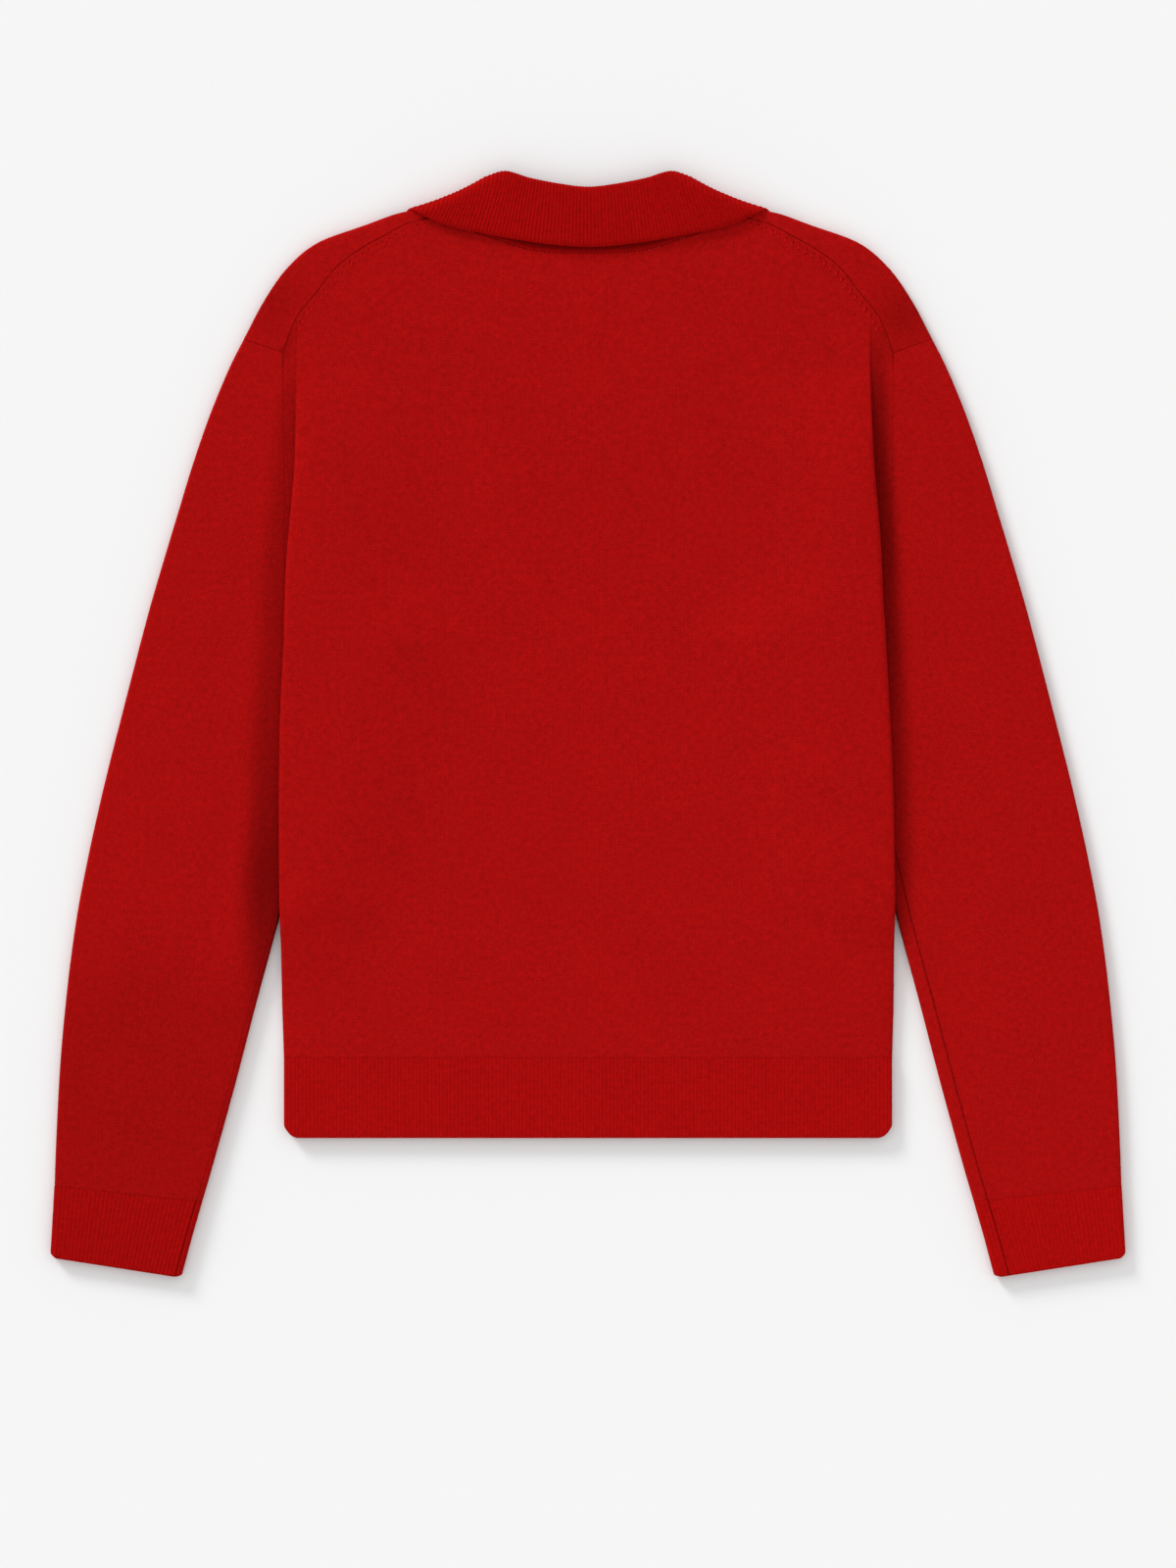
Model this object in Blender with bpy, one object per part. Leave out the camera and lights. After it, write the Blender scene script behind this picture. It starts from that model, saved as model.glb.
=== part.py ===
"""A cashmere sweater with a ribbed collar, laid flat on its front.

Metres, +Z up, +Y from the hem to the collar, origin on the surface under the middle of the garment.
The tables give sizes in millimetres for the right half (+X), which is mirrored for the left. Every
piece is a wall of cloth: a grid of points on its middle surface, thickened along its normals. Layers
are counted from the surface: front, back, and at the sides the sleeve's two layers under them.
"""

import math

import bpy
import numpy as np

MM = 0.001

# Cloth
CLOTH = 1.8 * MM  # thickness of the plain knit
RIBBED = 2.0 * MM  # thickness of the ribbed bands and the collar
LAYER = 2.4 * MM  # height from one layer of plain knit to the next
COLLAR_LAYER = 2.9 * MM  # the same for the collar
SEAM = 0.35 * MM  # gap between two sewn edges
RIB_PITCH = 2.46 * MM
CUFF_RIB_PITCH = 2.8 * MM
RIB_RELIEF = 0.5 * MM
RESTING = 1.8 * MM  # cloth that lies lower than this has no ribs on its underside
COINCIDENT = 1e-7
SHARP = 50  # degrees between two faces that show an edge
SMOOTH = 0.25 * MM  # how far a plain face may lie off the grid behind ribs
WIDEST = 13  # the most columns of a ribbed face to one of the plain face behind it

# Bands
HEM_TOP = -216.2 * MM
HEM_END = -268.2 * MM
HEM_CORNER = 7.5 * MM  # radius of the hem's lower corners
HEM_FRONT_COLUMNS = 17
BAND_RISE = (RIBBED - CLOTH) / 2  # what the middle of a band lies higher than the middle of a panel

# Where the body climbs over what lies under it
CLIMB_WIDTH = 24 * MM
CLIMB_LEAD = 34 * MM  # how far the climb's foot lies in from the rise
FLAT_SHARES = (0, 0.27, 0.54, 0.8, 1)  # where a section has points, as shares of the way to the foot
CREST_WIDTH = 8 * MM  # the part of a section beside its edge that has points close together

# The collar's front leaf lies under the panels: it lifts them over a strip beside its outer edge
LEAF_LIFT = 3.0 * MM
LEAF_TIP = (28 * MM, 200 * MM)
LEAF_OUT = (0.824, -0.566)  # the way out from the leaf's edge
LIFT_WIDTH = 20 * MM
FRONT_REACH = 8 * MM  # how far beside the leaf the front starts to come down
BACK_REACH = 40 * MM

RED = (0.40, 0.006, 0.005, 1.0)
RIB_RED = (0.37, 0.005, 0.005, 1.0)
COLLAR_RED = (0.33, 0.004, 0.004, 1.0)


class Table:
    """Rows of millimetres under named columns, read between rows along the first column."""

    def __init__(self, names, *rows):
        self.names = names.split()
        self.rows = np.array(sorted(rows), float)

    def number(self, name, at):
        return float(np.interp(at, self.rows[:, 0], self.rows[:, self.names.index(name)]))

    def length(self, name, at):
        return self.number(name, at / MM) * MM

    def points(self, *names):
        return self.rows[:, [self.names.index(name) for name in names]] * MM


# Sections of the body, from the yoke to the hem. crest: the edge of the body where it lies over the
# sleeve; lean: what the left crest lies further out and the right one further in; drop: how far the
# cloth falls there; turn: the degrees it folds through; tuck: how far it is folded back under; seam:
# the armhole seam; rise: where the body has climbed onto what lies under it; front: the edge of the
# front panel at the armhole.
BODY = Table(
    "y crest lean drop turn tuck seam rise front",
    (230.2, 186.0, 2.5, 2.2, 70, 0, 197.6, 190.0, 213.4),
    (199.0, 186.6, 2.6, 3.6, 95, 0, 197.2, 190.0, 199.0),
    (168.0, 187.7, 2.3, 4.6, 110, 0, 196.8, 191.0, 195.6),
    (137.5, 190.2, 2.2, 4.8, 120, 0, 196.5, 191.0, 193.9),
    (110.0, 192.4, 2.5, 4.8, 140, 0, 196.8, 189.0, 188.6),
    (92.0, 193.2, 2.6, 4.8, 180, 7, 192.5, 183.0, 182.0),
    (76.0, 193.8, 2.5, 4.8, 180, 19, 181.5, 171.0, 172.0),
    (63.0, 194.5, 2.2, 4.8, 180, 31, 169.0, 160.0, 158.0),
    (53.0, 194.8, 2.0, 4.8, 180, 39, 157.0, 154.0, 146.0),
    (43.0, 195.4, 2.0, 4.8, 180, 36, 160.0, 156.0, 158.0),
    (27.0, 196.3, 2.0, 4.8, 180, 23, 173.5, 160.5, 173.0),
    (8.0, 197.2, 1.9, 4.8, 180, 10, 187.5, 165.5, 187.0),
    (-12.0, 198.0, 1.6, 4.8, 180, 6, 193.0, 170.5, 192.6),
    (-60.0, 199.0, 1.0, 4.8, 180, 6, 194.0, 183.5, 193.6),
    (-110.0, 199.3, 0.5, 4.8, 180, 6, 194.3, 196.2, 193.9),
    (-130.0, 198.9, 0.4, 4.8, 180, 6, 193.4, 213.4, 193.0),
    (-146.0, 198.4, 0.3, 4.8, 180, 6, 193.4, 220.4, 193.0),
    (-180.0, 198.0, 0.1, 4.8, 180, 6, 193.0, 227.5, 192.6),
    (-216.2, 197.0, 0.0, 4.8, 180, 6, 192.0, 232.5, 191.6),
    (-268.2, 196.2, 0.0, 4.8, 180, 6, 191.2, 232.5, 190.8),
)
YOKE = 230.2 * MM  # the first level section of the back
FRONT_YOKE = 199.0 * MM  # the first level section of the front
YOKE_ROWS = 5
FRONT_YOKE_ROWS = 11
CREST_POINTS = 11
TAIL_END = 63.0 * MM  # from here up the armhole seam is reached by a second fold under the tuck
UNDERARM = 53.0 * MM
FRONT_CLIMB = 15 * MM  # length below TAIL_END over which the front's edge comes up onto the sleeve
EDGE_STRIP = 4 * MM  # the least width between the climb and the front's edge

# Edge of the back panel, from the middle of the neck to the point of the shoulder seam
BACK_EDGE = Table(
    "x y",
    (0, 304.0),
    (22, 304.6),
    (40, 307.0),
    (56, 312.0),
    (76, 318.9),
    (98, 328.0),
    (117, 323.3),
    (131, 315.9),
    (143.5, 309.2),
    (162, 296.0),
    (175.3, 279.5),
    (188.6, 262.5),
    (197.6, 240.0),
)

# The front panel comes over the shoulder to the same seam. fold: where the shoulder's edge is;
# foot: where the same line of cloth reaches the front's first level section.
SHOULDER = Table(
    "seam_x seam_y fold_x fold_y foot_x",
    (99.0, 329.0, 100.0, 334.4, 95),
    (117.2, 323.9, 113.0, 329.3, 109),
    (131.3, 316.4, 121.5, 329.6, 118),
    (144.0, 309.7, 143.5, 322.9, 138),
    (162.4, 296.5, 176.0, 310.8, 157),
    (175.8, 280.0, 195.0, 294.8, 173),
    (189.1, 263.0, 210.8, 272.0, 187),
    (198.3, 240.2, 222.9, 249.0, 199),
)
NECK_FOOT = 85 * MM  # foot of the line of cloth that starts on the fold at the neck point
V_NECK = Table(
    "x y foot_x",
    (0, 230.0, 0),
    (30, 259.4, 26),
    (60, 288.8, 52),
    (91, 320.0, 76),
)

# Sections of the sleeve from its head to the cuff: the outer edge, the height of the inner end and,
# past the underarm, the inner fold
SLEEVE = Table(
    "order outer_x outer_y inner_y inner_x",
    (0, 222.9, 248.6, 230.2, 0),
    (1, 231.0, 233.0, 218.0, 0),
    (2, 244.0, 202.0, 199.0, 0),
    (3, 256.0, 167.5, 168.0, 0),
    (4, 265.6, 136.0, 137.5, 0),
    (5, 273.6, 109.5, 110.0, 0),
    (6, 278.8, 92.0, 92.0, 0),
    (7, 283.3, 76.5, 76.0, 0),
    (8, 287.2, 62.0, 63.0, 0),
    (9, 290.4, 50.0, 53.0, 154.4),
    (10, 294.5, 34.0, 38.5, 158.0),
    (11, 303.0, 1.0, 5.5, 166.5),
    (12, 314.0, -43.0, -38.0, 178.0),
    (13, 324.0, -88.0, -84.5, 190.0),
    (14, 331.0, -125.0, -128.0, 200.5),
    (15, 337.6, -175.0, -180.0, 214.5),
    (16, 342.2, -227.0, -236.5, 229.2),
    (17, 344.9, -283.0, -294.0, 245.2),
    (18, 345.4, -298.8, -309.2, 249.8),
)
SLEEVE_HEAD = (198.6 * MM, 239.6 * MM)  # where the sleeve's head meets the shoulder seam
CLOSED = 9  # the first section past the underarm
SLEEVE_COLUMNS = 20
SEAM_SHIFT = {-1: 1.5 * MM, 1: 7.0 * MM}  # the underarm seam, from the inner fold, by side
FIRST_SHIFT = 2.6 * MM  # the most it is at the first two closed sections
TUCKED_GAP = 1.2 * MM  # how much wider the armhole's gap is where the back is tucked over it
TUCKED_FROM = 115 * MM
TUCKED_WAY = 20 * MM
CUFF = Table(
    "order outer_x outer_y inner_y inner_x",
    (0, 345.4, -299.2, -309.6, 249.9),
    (1, 346.6, -321.0, -332.0, 256.4),
    (2, 348.0, -343.6, -356.6, 263.4),
)
CUFF_UNDER = 14  # columns on the plain underside of a cuff

# The collar: neck edge, roll and outer edge from the middle of the back to the front end. under: 1
# where that point is on the front's side. The strip is opened out flat, and then folded at LAP.
COLLAR = Table(
    "order neck_x neck_y neck_under roll_x roll_y roll_under edge_x edge_y edge_under",
    (0, 0.0, 304.6, 0, 0.0, 344.7, 0, 0.0, 308.0, 0),
    (1, 21.0, 305.2, 0, 19.0, 346.8, 0, 21.5, 309.4, 0),
    (2, 39.5, 307.9, 0, 37.5, 350.4, 0, 43.5, 312.4, 0),
    (3, 57.0, 313.4, 0, 55.0, 354.9, 0, 66.0, 316.4, 0),
    (4, 75.0, 319.8, 0, 76.0, 345.0, 1, 88.5, 321.2, 0),
    (5, 91.0, 328.0, 0, 76.3, 330.0, 1, 106.2, 329.0, 0),
    (6, 92.5, 330.0, 1, 73.0, 318.0, 1, 116.8, 322.0, 1),
    (7, 70.0, 300.3, 1, 60.0, 309.5, 1, 97.0, 284.0, 1),
    (8, 36.0, 267.2, 1, 27.0, 277.0, 1, 62.0, 241.0, 1),
    (9, 12.5, 244.2, 1, 7.5, 254.5, 1, 38.0, 213.0, 1),
    (10, 0.8, 233.0, 1, 3.4, 244.5, 1, 27.6, 200.0, 1),
)
LAP = ((117.0 * MM, 332.8 * MM), (60.0 * MM, 356.3 * MM))  # the collar's side edge, seen from above
RIBS_TO = 6  # the order up to which the collar shows its ribs
COLLAR_ENDS = 9  # columns on each plain front end
COLLAR_ROWS = 11
ARC_STEPS = 6


def ease(t):
    t = np.clip(t, 0.0, 1.0)
    return t * t * (3 - 2 * t)


def layer(number):
    return CLOTH / 2 + (number - 1) * LAYER


def arc(centre, radius, start, end):
    angles = np.radians(np.linspace(start, end, ARC_STEPS + 1))
    return [(centre[0] + radius * math.cos(a), centre[1] + radius * math.sin(a)) for a in angles]


def spaced(path, count):
    """count points evenly along a path."""
    path = np.asarray(path, float)
    reached = np.concatenate([[0], np.cumsum(np.linalg.norm(np.diff(path, axis=0), axis=1))])
    wanted = np.linspace(0, reached[-1], count)
    return np.stack([np.interp(wanted, reached, path[:, i]) for i in range(3)], axis=1)


def resample(path, count, bend):
    """count points along a path, closer together where it turns: a radian counts as much as bend.

    Values after X, Y and Z go with the points.
    """
    path = np.asarray(path, float)
    size = np.linalg.norm(np.diff(path[:, :3], axis=0), axis=1)
    path = path[np.concatenate([[True], size > COINCIDENT])]
    size = size[size > COINCIDENT]
    way = np.diff(path[:, :3], axis=0) / size[:, None]
    turn = np.arccos(np.clip((way[1:] * way[:-1]).sum(axis=1), -1, 1)) * bend
    size[1:] += turn / 2
    size[:-1] += turn / 2
    reached = np.concatenate([[0], np.cumsum(size)])
    wanted = np.linspace(0, reached[-1], count)
    return np.stack([np.interp(wanted, reached, values) for values in path.T], axis=1)


def rib_count(path, pitch):
    return round(float(np.linalg.norm(np.diff(np.asarray(path), axis=0), axis=1).sum()) / pitch)


def ridges(ribs):
    """The relief of two columns to each rib: a valley and a ridge."""
    return RIB_RELIEF * (np.arange(2 * ribs + 1) % 2)


def flow(points, at):
    """A smooth curve through points, read at fractions of their order."""
    points = np.asarray(points, float)
    padded = np.concatenate([[2 * points[0] - points[1]], points, [2 * points[-1] - points[-2]]])
    found = []
    for value in at:
        index = min(int(value), len(points) - 2)
        t = value - index
        a, b, c, d = padded[index : index + 4]
        bowed = t * (2 * a - 5 * b + 4 * c - d + t * (3 * (b - c) + d - a))
        found.append(b + 0.5 * t * (c - a + bowed))
    return np.array(found)


def mirrored(rows):
    """Rows of points of the right half, completed with the left half."""
    rows = np.asarray(rows)
    return np.concatenate([rows[:, :0:-1] * (-1, 1, 1), rows], axis=1)


# Walls


def grid_normals(grid):
    down = np.gradient(grid, axis=0)
    across = np.gradient(grid, axis=1)
    normals = np.cross(down, across)
    return normals / np.linalg.norm(normals, axis=2, keepdims=True)


def plain_columns(grid):
    """The columns that a face without ribs needs to follow the grid."""
    keep = [0]
    last = grid.shape[1] - 1
    while keep[-1] < last:
        start = keep[-1]
        reach = start + 1
        for end in range(start + 2, min(start + WIDEST, last) + 1):
            share = ((np.arange(start, end + 1) - start) / (end - start))[None, :, None]
            chord = grid[:, start : start + 1] * (1 - share) + grid[:, end : end + 1] * share
            if np.linalg.norm(chord - grid[:, start : end + 1], axis=2).max() > SMOOTH:
                break
            reach = end
        keep.append(reach)
    return keep


def wall(name, grid, thickness, color, relief=None):
    """A closed wall of cloth round a grid of its middle surface, with ribs raised on one face."""
    normals = grid_normals(grid)
    rows, columns = grid.shape[:2]
    keep = list(range(columns)) if relief is None else plain_columns(grid)
    outer = grid + normals * thickness / 2
    if relief is not None:
        lying = (grid[:, :, 2] < RESTING) & (normals[:, :, 2] < 0)
        outer += normals * np.where(lying, 0.0, relief)[:, :, None]
    inner = (grid - normals * thickness / 2)[:, keep]
    points = np.concatenate([outer.reshape(-1, 3), inner.reshape(-1, 3)])
    first_inner = rows * columns
    width = len(keep)

    def out(row, column):
        return row * columns + column

    def into(row, column):
        return first_inner + row * width + column

    faces = []
    for row in range(rows - 1):
        for column in range(columns - 1):
            faces.append(
                (out(row, column), out(row + 1, column), out(row + 1, column + 1), out(row, column + 1))
            )
        for column in range(width - 1):
            faces.append(
                (into(row, column), into(row, column + 1), into(row + 1, column + 1), into(row + 1, column))
            )
        last = columns - 1
        faces.append((out(row + 1, 0), out(row, 0), into(row, 0), into(row + 1, 0)))
        faces.append(
            (out(row, last), out(row + 1, last), into(row + 1, width - 1), into(row, width - 1))
        )
    for column, (start, end) in enumerate(zip(keep, keep[1:])):
        top = [out(0, c) for c in range(start, end + 1)]
        faces.append((*top, into(0, column + 1), into(0, column)))
        low = [out(rows - 1, c) for c in range(end, start - 1, -1)]
        faces.append((*low, into(rows - 1, column), into(rows - 1, column + 1)))

    mesh = bpy.data.meshes.new(name)
    mesh.from_pydata(points.tolist(), [], faces)
    mesh.polygons.foreach_set("use_smooth", [True] * len(mesh.polygons))
    mesh.set_sharp_from_angle(angle=math.radians(SHARP))
    mesh.materials.append(knit_material(name, color))
    piece = bpy.data.objects.new(name, mesh)
    bpy.context.scene.collection.objects.link(piece)


def knit_material(name, color):
    material = bpy.data.materials.new(name + "_knit")
    material.use_nodes = True
    shader = material.node_tree.nodes["Principled BSDF"]
    shader.inputs["Base Color"].default_value = color
    shader.inputs["Roughness"].default_value = 0.9
    shader.inputs["Metallic"].default_value = 0.0
    return material


# Body


def crest_at(y, side):
    return BODY.length("crest", y) - side * BODY.length("lean", y)


def leaf_lift(x, y, reach):
    """How far the collar's front leaf lifts the panel above it, up to reach beside it and on."""
    beside = (abs(x) - LEAF_TIP[0]) * LEAF_OUT[0] + (y - LEAF_TIP[1]) * LEAF_OUT[1]
    beyond = max(beside, LEAF_TIP[1] - y)
    return LEAF_LIFT * (1 - ease((beyond - reach) / LIFT_WIDTH))


def climb(x, y):
    """0 beside the sleeve that lies under the body, 1 on it."""
    foot = BODY.length("rise", y) - CLIMB_LEAD
    return ease((abs(x) - foot) / CLIMB_WIDTH)


def flat_stations(y, side):
    """The X of a section's points from the middle to the top of the climb."""
    foot = min(BODY.length("rise", y), crest_at(y, side)) - CLIMB_LEAD
    return [share * foot for share in FLAT_SHARES] + [foot + CLIMB_WIDTH * n / 3 for n in (1, 2, 3)]


def crest_fold(y, side):
    """The body's edge in X and Z: over the crest, back under it, and on to the armhole seam."""
    crest = crest_at(y, side)
    drop = BODY.length("drop", y)
    turn = BODY.number("turn", y / MM)
    radius = LAYER / 2
    top = layer(2) + drop * climb(crest, y)
    points = arc((crest - radius, top - radius), radius, 90, 90 - turn)
    swing = math.radians(turn)
    if turn < 180:
        run = max(drop - 2 * radius * (1 - math.cos(swing)), 0.0) / math.sin(swing)
    else:
        run = BODY.length("tuck", y) - 2 * radius
    end_x = points[-1][0] + run * math.cos(swing)
    end_z = points[-1][1] - run * math.sin(swing)
    points.append((end_x, end_z))
    if y < TAIL_END:
        return points
    second = (end_x + radius * math.sin(swing), end_z + radius * math.cos(swing))
    points += arc(second, radius, 270 - turn, 270)[1:]
    points.append((max(BODY.length("seam", y), points[-1][0] + 1 * MM), points[-1][1]))
    return points


def back_half(y, side):
    """Half a section of the back, from the middle out to its seam."""
    drop = BODY.length("drop", y)
    start = crest_at(y, side) - CREST_WIDTH
    stations = flat_stations(y, side)
    stations.append((stations[-1] + start) / 2)
    flat = [(x, y, layer(2) + drop * climb(x, y)) for x in stations]
    fold = [(start, y, layer(2) + drop * climb(start, y))]
    fold += [(x, y, z) for x, z in crest_fold(y, side)]
    section = np.concatenate([flat, resample(fold, CREST_POINTS, bend=16 * MM)])
    section[:, 2] += [leaf_lift(x, y, BACK_REACH) for x in section[:, 0]]
    return section * (side, 1, 1)


def front_edge(y, side):
    """The edge of the front panel: at the armhole, and below it where the back's tuck ends."""
    if y >= UNDERARM:
        return BODY.length("front", y)
    return crest_at(y, side) - BODY.length("tuck", y) + LAYER / 2 - SEAM


def front_feet():
    feet = V_NECK.points("foot_x")[:, 0].tolist()
    return np.array(feet + [NECK_FOOT] + SHOULDER.points("foot_x")[:, 0].tolist())


def front_half(y, side):
    """Half a section of the front, from the middle out to its edge."""
    last = front_edge(y, side)
    feet = front_feet()
    if y > TAIL_END:
        stations = feet * last / feet[-1]
    else:
        stations = flat_stations(y, side)
        stations = [x * min(1, (last - EDGE_STRIP) / stations[-1]) for x in stations]
        rest = np.linspace(stations[-1], last, len(feet) - len(stations) + 1)
        stations = stations + rest[1:].tolist()
    rise = 2 * LAYER * ease((TAIL_END - y) / FRONT_CLIMB)
    section = [(x, y, layer(1) + rise * climb(x, y) + leaf_lift(x, y, FRONT_REACH)) for x in stations]
    return np.array(section) * (side, 1, 1)


def whole_section(half, y):
    return np.concatenate([half(y, -1)[:0:-1], half(y, 1)])


def section_heights(first):
    heights = [y * MM for y in BODY.rows[::-1, 0] if y * MM <= first and y * MM > HEM_TOP]
    return heights + [HEM_TOP + SEAM / 2]


def back_edge():
    """The back's edge at the neck and shoulder, a point to each column of its right half."""
    edge = np.array([(x, y, 0.0) for x, y in BACK_EDGE.points("x", "y")])
    flat = len(flat_stations(YOKE, 1)) + 1
    return np.concatenate([edge[:flat], spaced(edge[flat - 1 :], CREST_POINTS + 1)[1:]])


def build_back():
    edge = mirrored([back_edge()])[0]
    yoke = whole_section(back_half, YOKE)
    rows = []
    for step in range(YOKE_ROWS):
        share = step / YOKE_ROWS
        row = (1 - share) * edge + share * yoke
        lift = np.array([leaf_lift(x, y, BACK_REACH) for x, y in row[:, :2]])
        row[:, 2] = layer(2) + lift + (yoke[:, 2] - layer(2)) * ease(share)
        rows.append(row)
    rows += [whole_section(back_half, y) for y in section_heights(YOKE)]
    wall("back", np.array(rows), CLOTH, RED)


def laid_path(start, end):
    """A line of cloth on the front's side between two places, lifted by the collar's leaf."""
    path = [start + (end - start) * t for t in np.linspace(0, 1, 2 * ARC_STEPS)]
    return [(x, y, layer(1) + leaf_lift(x, y, FRONT_REACH)) for x, y in path]


def shoulder_path(seam, fold, foot):
    """A line of cloth from the shoulder seam over the shoulder's edge and down the front."""
    outward = (fold - seam) / np.linalg.norm(fold - seam)
    top = layer(2) + leaf_lift(*seam, BACK_REACH)
    low = layer(1) + leaf_lift(*fold, FRONT_REACH)
    radius = (top - low) / 2
    centre = fold - outward * (radius + CLOTH / 2)
    turned = arc((0, (top + low) / 2), radius, 90, -90)
    path = [(*seam, top)] + [(*(centre + outward * reach), z) for reach, z in turned]
    return path + laid_path(centre, foot)[1:]


def front_columns():
    """Lines of cloth from the front's upper edge down to its first level section."""
    columns = []
    for x, y, foot in V_NECK.points("x", "y", "foot_x"):
        columns.append(laid_path(np.array((x, y)), np.array((foot, FRONT_YOKE))))
    shoulder = SHOULDER.points("seam_x", "seam_y", "fold_x", "fold_y", "foot_x")
    neck_point = shoulder_path(shoulder[0, :2], shoulder[0, 2:4], np.array((NECK_FOOT, FRONT_YOKE)))
    columns.append(neck_point[ARC_STEPS - 1 :])
    for row in shoulder:
        columns.append(shoulder_path(row[:2], row[2:4], np.array((row[4], FRONT_YOKE))))
    armhole = [(BODY.length("front", y), y, layer(1)) for y in (YOKE, FRONT_YOKE)]
    columns[-1] = columns[-1][: ARC_STEPS + 2] + armhole
    return [resample(path, FRONT_YOKE_ROWS + 1, bend=30 * MM) for path in columns]


def build_front():
    rows = list(mirrored(np.array(front_columns()).transpose(1, 0, 2)[:-1]))
    rows += [whole_section(front_half, y) for y in section_heights(FRONT_YOKE)]
    wall("front", np.array(rows), CLOTH, RED)


# Sleeves and cuffs


def outer_turn(outer, inner, half):
    """The way out of a flattened tube's section, and its turn round the outer edge from the top."""
    outward = (outer - inner) / np.linalg.norm(outer - inner)
    radius = LAYER / 2
    centre = outer - outward * (radius + half)
    turned = arc((0, half + radius), radius, 90, -90)
    return outward, [(*(centre + outward * reach), z) for reach, z in turned]


def open_section(outer, top_end, low_end):
    """A sleeve's section at the armhole: two layers with their own ends, joined at the outer edge."""
    half = CLOTH / 2
    turned = outer_turn(outer, (top_end + low_end) / 2, half)[1]
    return [(*top_end, half + LAYER), *turned, (*low_end, half)]


def closed_section(outer, inner, shift, half):
    """A section past the underarm, closed by a seam on the top layer, shift from the inner fold."""
    outward, turned = outer_turn(outer, inner, half)
    radius = LAYER / 2
    seam = inner + outward * (radius + half + shift)
    fold = inner + outward * (radius + half)
    path = [(*seam, half + LAYER), *turned]
    path += [(*(fold + outward * reach), z) for reach, z in arc((0, half + radius), radius, 270, 90)]
    return path + [(*(seam - outward * SEAM), half + LAYER)]


def sleeve_sections(side):
    for order, outer_x, outer_y, inner_y, inner_x in SLEEVE.rows:
        outer = np.array((outer_x, outer_y)) * MM
        y = inner_y * MM
        if order >= CLOSED:
            shift = SEAM_SHIFT[side]
            if order < CLOSED + 2:
                shift = min(shift, FIRST_SHIFT)
            yield closed_section(outer, np.array((inner_x * MM, y)), shift, CLOTH / 2)
            continue
        tucked = TUCKED_GAP * ease((TUCKED_FROM - y) / TUCKED_WAY)
        top_end = SLEEVE_HEAD if order == 0 else (BODY.length("seam", y) + SEAM + tucked, y)
        low_end = (BODY.length("front", y) + 2 * SEAM, y)
        yield open_section(outer, np.array(top_end), np.array(low_end))


def place(name, grid, side, thickness, color, relief=None):
    """A wall on one side, its columns in the order that turns its outside outwards."""
    if side < 0:
        flipped = None if relief is None else relief[::-1]
        wall(name, (grid * (-1, 1, 1))[:, ::-1], thickness, color, flipped)
    else:
        wall(name, grid, thickness, color, relief)


def build_sleeve(name, side):
    sections = [resample(path, SLEEVE_COLUMNS, bend=25 * MM) for path in sleeve_sections(side)]
    place(name, np.array(sections), side, CLOTH, RED)


def build_cuff(name, side):
    """A cuff: ribbed on top and round the outer edge, plain where it rests."""
    ribbed = ARC_STEPS // 2 + 1
    sections = []
    for _, outer_x, outer_y, inner_y, inner_x in CUFF.rows:
        outer = np.array((outer_x, outer_y)) * MM
        inner = np.array((inner_x, inner_y)) * MM
        sections.append(closed_section(outer, inner, SEAM_SHIFT[side], RIBBED / 2))
    ribs = rib_count(sections[0][: ribbed + 1], CUFF_RIB_PITCH)
    grid = []
    for path in sections:
        under = resample(path[ribbed:], CUFF_UNDER + 1, bend=25 * MM)
        grid.append(np.concatenate([spaced(path[: ribbed + 1], 2 * ribs + 1), under[1:]]))
    relief = np.concatenate([ridges(ribs), np.zeros(CUFF_UNDER)])
    place(name, np.array(grid), side, RIBBED, RIB_RED, relief)


# Hem


def hem_rows(x_values, rows):
    """Heights of a hem's rows at each X, with the lower corners rounded."""
    edge = BODY.length("crest", HEM_END)
    past = np.clip(abs(x_values) - (edge - HEM_CORNER), 0, HEM_CORNER)
    lowest = HEM_END + HEM_CORNER - np.sqrt(HEM_CORNER**2 - past**2)
    top = HEM_TOP - SEAM / 2
    return [top + (lowest - top) * n / (rows - 1) for n in range(rows)]


def build_hem_back():
    edge = crest_at(HEM_TOP, 1)
    radius = LAYER / 2
    top = layer(2) + BAND_RISE
    half = [(0, 0, top)] + [(x, 0, z) for x, z in arc((edge - radius, top - radius), radius, 90, -90)]
    half.append((BODY.length("front", HEM_TOP) + SEAM, 0, top - LAYER))
    path = mirrored([half])[0]
    ribs = rib_count(path, RIB_PITCH)
    line = spaced(path, 2 * ribs + 1)
    grid = np.array([np.stack([line[:, 0], y, line[:, 2]], axis=1) for y in hem_rows(line[:, 0], 2)])
    wall("hem_back", grid, RIBBED, RIB_RED, ridges(ribs))


def build_hem_front():
    edge = BODY.length("front", HEM_TOP)
    x = np.linspace(-edge, edge, HEM_FRONT_COLUMNS)
    z = np.full_like(x, RIBBED / 2)
    grid = np.array([np.stack([x, y, z], axis=1) for y in hem_rows(x, 3)])
    wall("hem_front", grid, RIBBED, RIB_RED)


# Collar


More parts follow.
